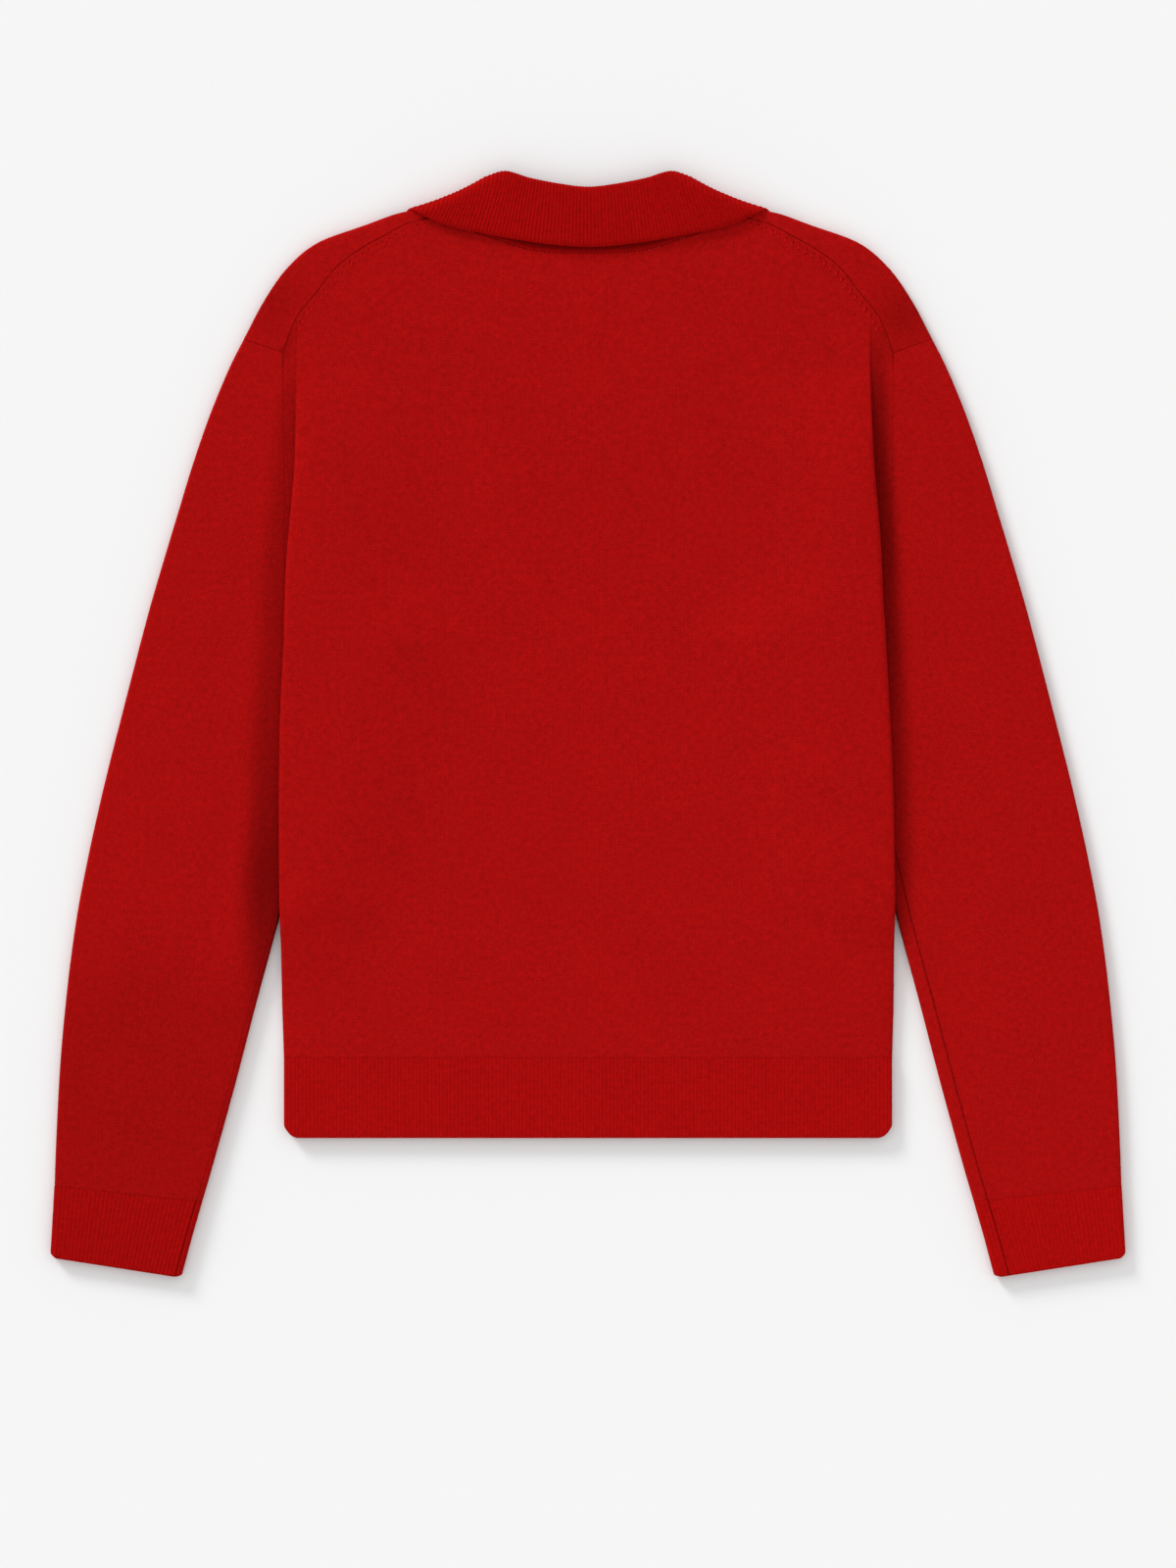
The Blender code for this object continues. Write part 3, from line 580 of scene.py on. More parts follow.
@dataclass(frozen=True)
class Knit:
    """The look of a cloth knitted from combed cashmere. Scales are in features to the metre."""

    name: str
    stitch: Stitch
    colour: tuple[float, float, float]
    wale: float = 2.5 * MM
    course: float = 1.8 * MM
    relief: float = 0.25 * MM  # what the heights below are counted in
    stitch_strength: float = 0.7
    loop_share: float = 0.3  # how far a leg of a loop rises and falls along its wale
    lean: float = 1.2  # courses that a leg climbs from a wale's side to its middle
    fibre_scale: float = 2600.0
    nap_scale: float = 650.0
    fuzz: float = 1.3
    melange_scales: tuple[float, float] = (900.0, 300.0)
    melange: float = 0.5  # how far the yarn's colour wanders
    cloud_scale: float = 22.0
    cloud: float = 0.12
    stitch_highlight: float = 0.08  # painted light: how much brighter the top of a loop is painted
    seam_width: float = 0.7 * MM
    seam_depth: float = 0.8
    seam_shade: float = 0.24
    seam_power: float = 1.5
    roughness: float = 0.9
    nap_roughness: float = 0.15
    sheen: float = 0.05
    sheen_roughness: float = 0.5
    sheen_tint: tuple[float, float, float, float] = (1.0, 0.06, 0.05, 1.0)

    def material(self) -> bpy.types.Material:
        """Makes the finish, or returns it if it is made already.

        Returns:
            A material whose stitches follow the piece's own map.
        """
        if self.name in bpy.data.materials:
            return bpy.data.materials[self.name]
        graph = Graph(self.name)
        stitches = self.stitches(graph)
        groove = self.groove(graph)
        nap = graph.noise(self.nap_scale)
        height = graph.add(
            graph.times(stitches, self.stitch_strength),
            graph.times(graph.noise(self.fibre_scale), self.fuzz),
            graph.times(nap, self.fuzz),
            graph.times(groove, -self.seam_depth),
        )
        graph.shade(
            {
                "Normal": graph.bump(height, self.relief),
                "Base Color": self.tint(graph, stitches, groove),
                "Roughness": graph.add(graph.times(nap, self.nap_roughness), self.roughness),
                "Sheen Weight": self.sheen,
                "Sheen Roughness": self.sheen_roughness,
                "Sheen Tint": self.sheen_tint,
                "Specular IOR Level": SPECULAR,
            }
        )
        return graph.material

    def stitches(self, graph: Graph) -> bpy.types.NodeSocket:
        """Draws the relief of the loops.

        Args:
            graph: the material's nodes.

        Returns:
            A height from 0 to about 1, with two slanted legs to each wale.
        """
        across, along = graph.wales()
        half = graph.math("PINGPONG", graph.times(across, 1 / self.wale), 0.5)
        legs = graph.math("SINE", graph.times(half, 2 * math.pi))
        slant = graph.add(graph.times(along, 1 / self.course), graph.times(half, self.lean))
        loops = graph.math("SINE", graph.times(slant, 2 * math.pi))
        ridge = graph.times(legs, graph.add(graph.times(loops, self.loop_share), 0.5))
        return graph.add(ridge, graph.times(half, CROWN[self.stitch]))

    def groove(self, graph: Graph) -> bpy.types.NodeSocket:
        """Finds the sewn edges.

        Args:
            graph: the material's nodes.

        Returns:
            1 on a sewn edge, falling to 0 beside it.
        """
        away = graph.times(graph.attribute(ClothPiece.SEAM), 1 / self.seam_width)
        near = graph.math("SUBTRACT", 1.0, graph.math("MINIMUM", away, 1.0))
        return graph.math("POWER", near, self.seam_power)

    def tint(
        self, graph: Graph, stitches: bpy.types.NodeSocket, groove: bpy.types.NodeSocket
    ) -> bpy.types.NodeSocket:
        """Mixes the colours of the combed yarn, with painted light on the tops of the loops and painted
        shade in the seams and the deep folds.

        Args:
            graph: the material's nodes.
            stitches: the loops' relief.
            groove: where the seams are.

        Returns:
            The colour.
        """
        # painted light and shade: the loops' tops are painted brighter, and the seams and the deep folds
        # darker
        value = graph.add(
            1.0 - self.stitch_highlight / 2,
            *(graph.times(graph.noise(scale), self.melange) for scale in self.melange_scales),
            graph.times(graph.noise(self.cloud_scale), self.cloud),
            graph.times(stitches, self.stitch_highlight),
            graph.times(groove, -self.seam_shade),
        )
        # painted shade: the shade that the points carry takes light out of the colour
        lit = graph.math("SUBTRACT", 1.0, graph.attribute(ClothPiece.SHADE))
        return graph.tinted(self.colour, graph.times(value, lit))


JERSEY = Knit("cashmere_jersey", Stitch.JERSEY, (0.395, 0.0040, 0.0037))
BAND_RIB = Knit("cashmere_rib", Stitch.RIB, (0.39, 0.0032, 0.0029), wale=RIB_PITCH)
CUFF_RIB = Knit("cashmere_cuff_rib", Stitch.RIB, (0.405, 0.0032, 0.0029), wale=CUFF_RIB_PITCH)
COLLAR_RIB = Knit("cashmere_collar_rib", Stitch.RIB, (0.36, 0.0024, 0.0022), wale=RIB_PITCH)


# The form that the pieces share


@dataclass(frozen=True)
class Loft:
    """How the cloth above the lowest layer stands off it, over the whole garment."""

    air: float = 2.2 * MM
    start: float = CLOTH / 2
    full: float = 3.2 * MM
    margin: float = 0.15  # share of the half wave along a crease that is cut off at each end

    def lift(self, x: np.ndarray, y: np.ndarray) -> np.ndarray:
        """Works out the lift at places seen from above.

        Args:
            x: positions across, in metres.
            y: positions along.

        Returns:
            Heights in metres.
        """
        total = np.full(np.shape(x), self.air)
        for _, x0, y0, x1, y1, width, height in CREASES.rows * MM:
            way = np.array((x1 - x0, y1 - y0))
            share = np.clip(((x - x0) * way[0] + (y - y0) * way[1]) / (way @ way), 0, 1)
            away = np.hypot(x - x0 - share * way[0], y - y0 - share * way[1])
            fade = np.sin(math.pi * (self.margin + (1 - 2 * self.margin) * share))
            total = total + height * fade * np.exp(-((away / width) ** 2))
        return total

    def raised(self, points: np.ndarray) -> np.ndarray:
        """Lifts places on the cloth, apart from those in the lowest layer.

        Args:
            points: X, Y and Z before the lift.

        Returns:
            The same places with their lift.
        """
        weight = ease((points[..., 2] - self.start) / (self.full - self.start))
        lifted = points.copy()
        lifted[..., 2] += weight * self.lift(points[..., 0], points[..., 1])
        return lifted


LOFT = Loft()


def spot_shade(x: np.ndarray, y: np.ndarray) -> np.ndarray:
    """Works out how much light the painted shade of the shoulders' soft spots takes.

    Args:
        x: positions across, in metres.
        y: positions along.

    Returns:
        Shares of the light.
    """
    shade = np.zeros(np.shape(x))
    for _, across, along, radius, depth in SHOULDER_SHADE.rows:
        away = np.hypot(x / MM - across, y / MM - along)
        shade += depth * np.exp(-((away / radius) ** 2))
    return shade


def crest_at(y: float | np.ndarray, side: Side) -> float | np.ndarray:
    """Returns how far out the body's edge is where it lies over a sleeve."""
    return BODY.length("crest", y) - side.value * BODY.length("lean", y)


def climb(x: np.ndarray, y: float, lead: float = 0.0) -> np.ndarray:
    """Works out how far the body has climbed onto the sleeve that lies under it.

    Args:
        x: positions across, in metres.
        y: the section.
        lead: how much further in the climb starts.

    Returns:
        0 beside the sleeve and 1 on it.
    """
    foot = BODY.length("rise", y) - CLIMB_LEAD
    climbed = ease((abs(x) - foot + lead) / (CLIMB_WIDTH + lead))
    if not lead:
        return climbed
    return climbed * ease((BODY.length("crest", y) - foot) / CLIMB_WIDTH)


def valley_shade(x: np.ndarray, y: np.ndarray) -> np.ndarray:
    """Works out how much light the deep folds beside the body's crests take.

    Args:
        x: positions across, in metres.
        y: positions along.

    Returns:
        Shares of the light.
    """
    shade = np.zeros(np.shape(x))
    for side in Side:
        word = side.name.lower()
        out = (x * side.value - crest_at(y, side)) / VALLEY.length(f"{word}_reach", y)
        fading = ease((out - VALLEY_FULL) / (1 - VALLEY_FULL))
        here = VALLEY.number(f"{word}_shade", y / MM) * (1 - fading)
        shade += np.where(x * side.value > 0, here, 0.0)
    return shade


def leaf_lift(x: np.ndarray, y: np.ndarray, fall: float) -> np.ndarray:
    """Works out how far the collar's front leaf lifts the panel above it.

    Args:
        x: positions across, in metres.
        y: positions along.
        fall: the length over which the panel comes down again.

    Returns:
        Heights in metres.
    """
    beside = (abs(x) - LEAF_TIP[0]) * LEAF_OUT[0] + (y - LEAF_TIP[1]) * LEAF_OUT[1]
    beyond = np.maximum(beside, LEAF_TIP[1] - y)
    return LEAF_LIFT * (1 - ease((beyond - LEAF_REACH) / fall))


def outer_turn(outer: np.ndarray, inner: np.ndarray, half: float) -> tuple[np.ndarray, list]:
    """Turns a flattened tube's section round its outer edge.

    Args:
        outer: the outer edge, seen from above.
        inner: the inner end.
        half: half the thickness of the cloth.

    Returns:
        The way out, and the turn's points from the top layer to the lowest.
    """
    outward = (outer - inner) / np.linalg.norm(outer - inner)
    radius = LAYER / 2
    centre = outer - outward * (radius + half)
    turned = arc((0, half + radius), radius, 90, -90)
    return outward, [(*(centre + outward * reach), z) for reach, z in turned]


def closed_section(
    outer: np.ndarray, inner: np.ndarray, shift: float, half: float
) -> tuple[list, list, list]:
    """Draws a tube's section, closed by a seam on the top layer.

    Args:
        outer: the outer edge, seen from above.
        inner: the inner fold.
        shift: from the inner fold to the seam.
        half: half the thickness of the cloth.

    Returns:
        The way from the seam to the outer edge, round it, and on underneath back to the seam.
    """
    outward, turned = outer_turn(outer, inner, half)
    radius = LAYER / 2
    seam = inner + outward * (radius + half + shift)
    fold = inner + outward * (radius + half)
    inside = arc((0, half + radius), radius, 270, 90)
    rest = [turned[-1]] + [(*(fold + outward * reach), z) for reach, z in inside]
    rest.append((*(seam - outward * JOIN), half + LAYER))
    return [(*seam, half + LAYER), turned[0]], turned, rest


# Pieces of cloth


@dataclass
class Weave:
    """A piece's grid on its middle surface, its first face outwards, by rows from its upper end."""

    grid: np.ndarray
    across: np.ndarray
    along: np.ndarray
    ribbed: np.ndarray | float = 1.0

    @classmethod
    def laid(cls, grid: np.ndarray, centre: int) -> "Weave":
        """Maps a grid in metres across and along.

        Args:
            grid: the grid.
            centre: the column that the way across starts from. The way along starts from the last row.

        Returns:
            The grid and its map.
        """
        across = reached(grid, 1)
        along = reached(grid, 0)
        return cls(grid, across - across[:, [centre]], along[-1:] - along)

    @classmethod
    def in_ribs(cls, grid: np.ndarray, wale: float) -> "Weave":
        """Maps a grid that has the same number of columns to each rib.

        Args:
            grid: the grid.
            wale: the width of a rib.

        Returns:
            The grid and its map.
        """
        phase = np.arange(grid.shape[1]) / RIB_COLUMNS * wale
        return cls(grid, np.broadcast_to(phase, grid.shape[:2]), cls.laid(grid, 0).along)


@dataclass
class ClothPiece:
    """A sheet of cloth of the garment."""

    MAP = "wales"
    SEAM = "seam_distance"
    SHADE = "fold_shade"

    name: str
    node: str
    finish: Knit
    flat: tuple[float, float]
    area: float | None = None
    thickness: float = CLOTH
    rests_on: tuple[str, ...] = ()
    sewn: dict[Border, float] = field(default_factory=dict)
    free: tuple[Border, ...] = ()
    rib_depth: float = 0.75 * MM
    edge_share: float = 0.3  # share of its thickness that the cloth has right at a free edge
    sharp: float = 65.0  # degrees between faces above which they don't look smooth

    def weave(self) -> Weave:
        """Returns the piece's grid and its map."""
        raise NotImplementedError

    def from_border(self, grid: np.ndarray, border: Border) -> np.ndarray:
        """Measures along the cloth from one of the piece's borders.

        Args:
            grid: the piece's grid.
            border: the border.

        Returns:
            How far each point is from it.
        """
        axis = 0 if border in (Border.FIRST_ROW, Border.LAST_ROW) else 1
        away = reached(grid, axis)
        if border is Border.LAST_ROW:
            return away[-1:] - away
        if border is Border.LAST_COLUMN:
            return away[:, -1:] - away
        return away

    def build(self) -> bpy.types.Object:
        """Makes the piece.

        Returns:
            The closed sheet, with its place in its mesh.
        """
        weave = self.weave()
        grid = LOFT.raised(weave.grid)[::-1]
        rows, columns = grid.shape[:2]
        bpy.ops.object.select_all(action="DESELECT")
        bpy.ops.mesh.primitive_grid_add(x_subdivisions=columns - 1, y_subdivisions=rows - 1)
        piece = bpy.context.object
        piece.name = piece.data.name = self.name
        mesh = piece.data
        mesh.vertices.foreach_set("co", grid.ravel())
        corners = np.zeros(len(mesh.loops), np.int32)
        mesh.loops.foreach_get("vertex_index", corners)
        laid = np.stack([weave.across, weave.along], axis=2)[::-1].reshape(-1, 2)
        mesh.uv_layers[0].name = self.MAP
        mesh.uv_layers[0].data.foreach_set("uv", laid[corners].ravel())
        mesh.update()
        self.thicken(piece, weave)
        bpy.ops.object.shade_smooth_by_angle(angle=math.radians(self.sharp))
        mesh.materials.clear()
        mesh.materials.append(self.finish.material())
        self.dress(piece)
        LOG.info("%s: %d faces", self.name, len(mesh.polygons))
        return piece

    def thicken(self, piece: bpy.types.Object, weave: Weave) -> None:
        """Gives the sheet its two faces, with ribs on the outer one and its free edges rounded.

        Args:
            piece: the sheet, without thickness.
            weave: its grid and its map.
        """
        mesh = piece.data
        count = len(mesh.vertices)
        middle = np.zeros(count * 3)
        normals = np.zeros(count * 3)
        mesh.vertices.foreach_get("co", middle)
        mesh.vertices.foreach_get("normal", normals)
        middle, normals = middle.reshape(-1, 3), normals.reshape(-1, 3)
        shell = piece.modifiers.new("thickness", "SOLIDIFY")
        shell.thickness = self.thickness
        shell.offset = 0
        bpy.ops.object.modifier_apply(modifier=shell.name)
        half = self.thickness / 2 * self.fullness(weave.grid)[::-1].ravel()
        relief = np.zeros(count)
        if self.finish.stitch is Stitch.RIB:
            wave = 0.5 - 0.5 * np.cos(2 * math.pi * weave.across / self.finish.wale)
            lying = (middle[:, 2] < RESTING) & (normals[:, 2] < 0)
            relief = (wave * weave.ribbed)[::-1].ravel() - lying
            relief *= self.rib_depth * (half / half.max())
        outer = middle + normals * (half + relief)[:, None]
        inner = middle - normals * half[:, None]
        mesh.vertices.foreach_set("co", np.concatenate([outer, inner]).ravel())
        for name, values in (
            (self.SEAM, self.seam_distance(weave.grid)),
            (self.SHADE, self.fold_shade(weave.grid)),
        ):
            values = values[::-1].ravel()
            carried = mesh.attributes.new(name, "FLOAT", "POINT")
            carried.data.foreach_set("value", np.concatenate([values, values]).astype(np.float32))
        mesh.update()

    def fullness(self, grid: np.ndarray) -> np.ndarray:
        """Works out how thick the cloth is, which is less at its free edges.

        Args:
            grid: the piece's grid.

        Returns:
            The share of its thickness that the cloth has at each point.
        """
        share = np.ones(grid.shape[:2])
        for border in self.free:
            inside = np.clip(self.from_border(grid, border) / (self.thickness / 2), 0, 1)
            rounding = np.sqrt(1 - (1 - inside) ** 2)
            share = np.minimum(share, self.edge_share + (1 - self.edge_share) * rounding)
        return share

    def seam_distance(self, grid: np.ndarray) -> np.ndarray:
        """Measures along the cloth from the nearest sewn edge.

        Args:
            grid: the piece's grid.

        Returns:
            How far each point is from it, and more where that edge is faint.
        """
        away = np.full(grid.shape[:2], FAR)
        for border, faint in self.sewn.items():
            away = np.minimum(away, self.from_border(grid, border) + faint)
        return away

    def fold_shade(self, grid: np.ndarray) -> np.ndarray:
        """Returns how much of its light each point loses in a deep fold."""
        return np.zeros(grid.shape[:2])

    def dress(self, piece: bpy.types.Object) -> None:
        """Hangs the piece under the root and hides the part that it stands for."""
        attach(piece, "root")
        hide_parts(self.node)


@dataclass
class BackPanel(ClothPiece):
    """The back: the shoulders, the crests over the sleeves and the tucks under them."""

    flat_columns: int = 76
    turn_columns: int = ARC_STEPS // 2
    tail_columns: int = 16
    inner_radius: float = LAYER / 2
    least_slope: float = 0.1  # sine of the tail's slope below which it counts as level
    least_run: float = 0.2 * MM  # shortest straight stretch past the crest's turn
    least_seam: float = 1 * MM  # shortest stretch from the tuck's turn to the armhole seam
    yoke_rows: int = 32
    crest_width: float = 16 * MM
    crest_fall: float = 0.8 * MM

    def fold_radius(self, y: float) -> float:
        """Returns the radius of the crest's turn, which rounds off the height that it falls."""
        return max(BODY.length("drop", y) - LAYER, LAYER) / 2

    def tail(self, y: float, side: Side, start: tuple[float, float], reaches_seam: bool) -> np.ndarray:
        """Draws the cloth past the crest's turn.

        Args:
            y: the section.
            side: not used.
            start: X and Z of the end of the crest's turn.
            reaches_seam: whether it turns back out to the armhole seam.

        Returns:
            Points in X and Z, with 0 as their third value.
        """
        radius = self.inner_radius
        outer = self.fold_radius(y)
        swing = math.radians(BODY.number("turn", y / MM))
        run = BODY.length("tuck", y) - 2 * outer
        if math.sin(swing) > self.least_slope:
            fall = BODY.length("drop", y) - (outer + radius) * (1 - math.cos(swing))
            run = max(run, fall / math.sin(swing))
        run = max(run, self.least_run)
        end = (start[0] + run * math.cos(swing), start[1] - run * math.sin(swing))
        points = [start, end]
        if reaches_seam:
            centre = (end[0] + radius * math.sin(swing), end[1] + radius * math.cos(swing))
            points += arc(centre, radius, 270 - math.degrees(swing), 270)[1:]
            seam = max(BODY.length("seam", y), points[-1][0] + self.least_seam)
            points.append((seam, points[-1][1]))
        return resample([(x, z, 0.0) for x, z in points], self.tail_columns + 1, FOLD_BEND)

    def section(self, y: float, side: Side) -> np.ndarray:
        """Draws half a level section, from the middle out to the seam.

        Args:
            y: the section.
            side: which half.

        Returns:
            X, Y and Z of its points.
        """
        radius = self.fold_radius(y)
        start = crest_at(y, side) - radius - CLOTH / 2
        x = np.linspace(0, start, self.flat_columns)
        z = layer(2) + BODY.length("drop", y) * climb(x, y, BACK_LEAD)
        top = float(z[-1])
        turn = BODY.number("turn", y / MM)
        every = ARC_STEPS // self.turn_columns
        fold = arc((start, top - radius), radius, 90, 90 - turn)[::every]
        reaches = ease((y - UNDERARM) / (TAIL_END - UNDERARM))
        tail = (1 - reaches) * self.tail(y, side, fold[-1], False)
        tail += reaches * self.tail(y, side, fold[-1], True)
        line = np.concatenate([np.stack([x, z], axis=1), np.array(fold)[1:], tail[1:, :2]])
        section = np.stack([line[:, 0], np.full(len(line), y), line[:, 1]], axis=1)
        near = np.clip((section[:, 0] - crest_at(y, side) + self.crest_width) / self.crest_width, 0, 1)
        height = np.clip((section[:, 2] - top) / (2 * radius) + 1, 0, 1)
        section[:, 2] -= self.crest_fall * near**2 * height
        section[:, 2] += leaf_lift(section[:, 0], y, BACK_FALL)
        return section

    def yoke(self, first: np.ndarray) -> np.ndarray:
        """Draws half of the rows from the neck and the shoulder seam to the first level section.

        Args:
            first: that section.

        Returns:
            The rows, without that section.
        """
        edge_y = BACK_EDGE.length("y", first[:, 0])
        rows = []
        for share in np.linspace(0, 1, self.yoke_rows, endpoint=False):
            row = first.copy()
            row[:, 1] += (1 - share) * (edge_y - YOKE)
            base = layer(2) + leaf_lift(first[:, 0], YOKE, BACK_FALL)
            row[:, 2] = layer(2) + (first[:, 2] - base) * ease(share)
            row[:, 2] += leaf_lift(row[:, 0], row[:, 1], BACK_FALL)
            rows.append(row)
        return np.array(rows)

    def weave(self) -> Weave:
        """Draws the whole panel.

        Returns:
            Its grid, mapped from its middle and its hem.
        """
        levels = np.linspace(YOKE, HEM_TOP + JOIN / 2, round((YOKE - HEM_TOP) / STEP))
        both = []
        for side in Side:
            level = np.array([self.section(y, side) for y in levels])
            both.append(np.concatenate([self.yoke(level[0]), level]))
        grid = halves(*both)
        return Weave.laid(grid, grid.shape[1] // 2)

    def fold_shade(self, grid: np.ndarray) -> np.ndarray:
        """Works out the valleys' shade, which the cloth past the crests has.

        Args:
            grid: the panel's grid.

        Returns:
            How much of its light each point loses.
        """
        columns = abs(np.arange(grid.shape[1]) - grid.shape[1] // 2)
        turned = (columns - self.flat_columns) / self.turn_columns
        past = ease((turned - 0.25) / 0.5)
        return valley_shade(grid[..., 0], grid[..., 1]) * past


@dataclass
class FrontPanel(ClothPiece):
    """The front, which lies lowest and comes over the shoulders to the seams on the back."""

    rows_over: int = 40
    bend: float = 12 * MM
    columns: tuple[int, int, int] = (24, 8, 44)  # along the V neck, to the shoulder and over it
    climb_start: float = 10 * MM  # length over which the front starts to lean with the body

    def laid_path(self, start: np.ndarray, end: np.ndarray) -> list:
        """Draws a line of cloth on the front's side between two places."""
        path = [start + (end - start) * t for t in np.linspace(0, 1, 2 * ARC_STEPS)]
        return [(x, y, layer(1) + leaf_lift(x, y, FRONT_FALL)) for x, y in path]

    def shoulder_path(self, seam: np.ndarray, fold: np.ndarray, foot: np.ndarray) -> list:
        """Draws a line of cloth over the shoulder.

        Args:
            seam: where it starts, on the back.
            fold: where it turns, at the shoulder's edge.
            foot: where it ends, on the front.

        Returns:
            The line's points.
        """
        outward = (fold - seam) / np.linalg.norm(fold - seam)
        top = layer(2) + leaf_lift(seam[0], seam[1], BACK_FALL)
        low = layer(1) + leaf_lift(fold[0], fold[1], FRONT_FALL)
        radius = (top - low) / 2
        centre = fold - outward * (radius + CLOTH / 2)
        turned = arc((0, (top + low) / 2), radius, 90, -90)
        path = [(*seam, top)] + [(*(centre + outward * reach), z) for reach, z in turned]
        return path + self.laid_path(centre, foot)[1:]

    def lines(self) -> tuple[np.ndarray, np.ndarray]:
        """Draws the lines of cloth from the upper edge to the first level section.

        Returns:
            The lines' points, and how far out each line meets that section.
        """
        found, feet = [], []
        for x, y, foot in V_NECK.points("x", "y", "foot_x"):
            found.append(self.laid_path(np.array((x, y)), np.array((foot, FRONT_YOKE))))
            feet.append(foot)
        shoulder = SHOULDER.points("seam_x", "seam_y", "fold_x", "fold_y", "foot_x")
        neck_point = np.array((NECK_FOOT, FRONT_YOKE))
        first = self.shoulder_path(shoulder[0, :2], shoulder[0, 2:4], neck_point)
        found.append(first[ARC_STEPS - 1 :])  # only from the shoulder's edge on
        feet.append(NECK_FOOT)
        stops = [0, len(found) - 2, len(found)]
        for row in shoulder:
            found.append(self.shoulder_path(row[:2], row[2:4], np.array((row[4], FRONT_YOKE))))
            feet.append(row[4])
        stops.append(len(found) - 1)
        armhole = [(BODY.length("front", y), y, layer(1)) for y in (YOKE, FRONT_YOKE)]
        found[-1] = found[-1][: ARC_STEPS + 2] + armhole  # past its turn it follows the armhole
        lines = np.array([resample(path, self.rows_over + 1, self.bend) for path in found])
        spans = [np.linspace(*span) for span in zip(stops, stops[1:], self.columns)]
        at = np.concatenate([span[:-1] for span in spans] + [stops[-1:]])
        keys = np.arange(len(found))
        return smooth_rows(lines, keys, at).transpose(1, 0, 2), smooth_rows(feet, keys, at)

    def section(self, y: float, side: Side, feet: np.ndarray) -> np.ndarray:
        """Draws half a level section, from the middle out to the front's edge.

        Args:
            y: the section.
            side: which half.
            feet: how far out the upper lines come down.

        Returns:
            X, Y and Z of its points.
        """
        below = ease((UNDERARM - y) / self.climb_start)
        last = BODY.length("front", y) - side.value * BODY.length("lean", y) * below
        x = feet * last / feet[-1]
        rise = 2 * LAYER * ease((TAIL_END - y) / FRONT_CLIMB)
        z = layer(1) + rise * climb(x, y) + leaf_lift(x, y, FRONT_FALL)
        return np.stack([x, np.full_like(x, y), z], axis=1)

    def fold_shade(self, grid: np.ndarray) -> np.ndarray:
        """Returns the painted shade of the shoulders' soft spots."""
        return spot_shade(grid[..., 0], grid[..., 1])

    def weave(self) -> Weave:
        """Draws the whole panel.

        Returns:
            Its grid, turned to have its outside down, and its map.
        """
        upper, feet = self.lines()
        levels = np.linspace(FRONT_YOKE, HEM_TOP + JOIN / 2, round((FRONT_YOKE - HEM_TOP) / STEP))
        both = []
        for side in Side:
            level = np.array([self.section(y, side, feet) for y in levels])
            both.append(np.concatenate([upper[:-1], level]))
        grid = halves(*both)
        return Weave.laid(grid, grid.shape[1] // 2)


def tube_ends(table: Table, order: float) -> tuple[np.ndarray, np.ndarray]:
    """Reads the ends of a sleeve's or a cuff's section.

    Args:
        table: the table of its sections.
        order: the section, between two rows where it is a fraction.

    Returns:
        X and Y of the outer end and of the inner one, in metres.
    """
    return tuple(
        np.array([table.number(end + axis, order) * MM for axis in ("_x", "_y")])
        for end in ("outer", "inner")
    )


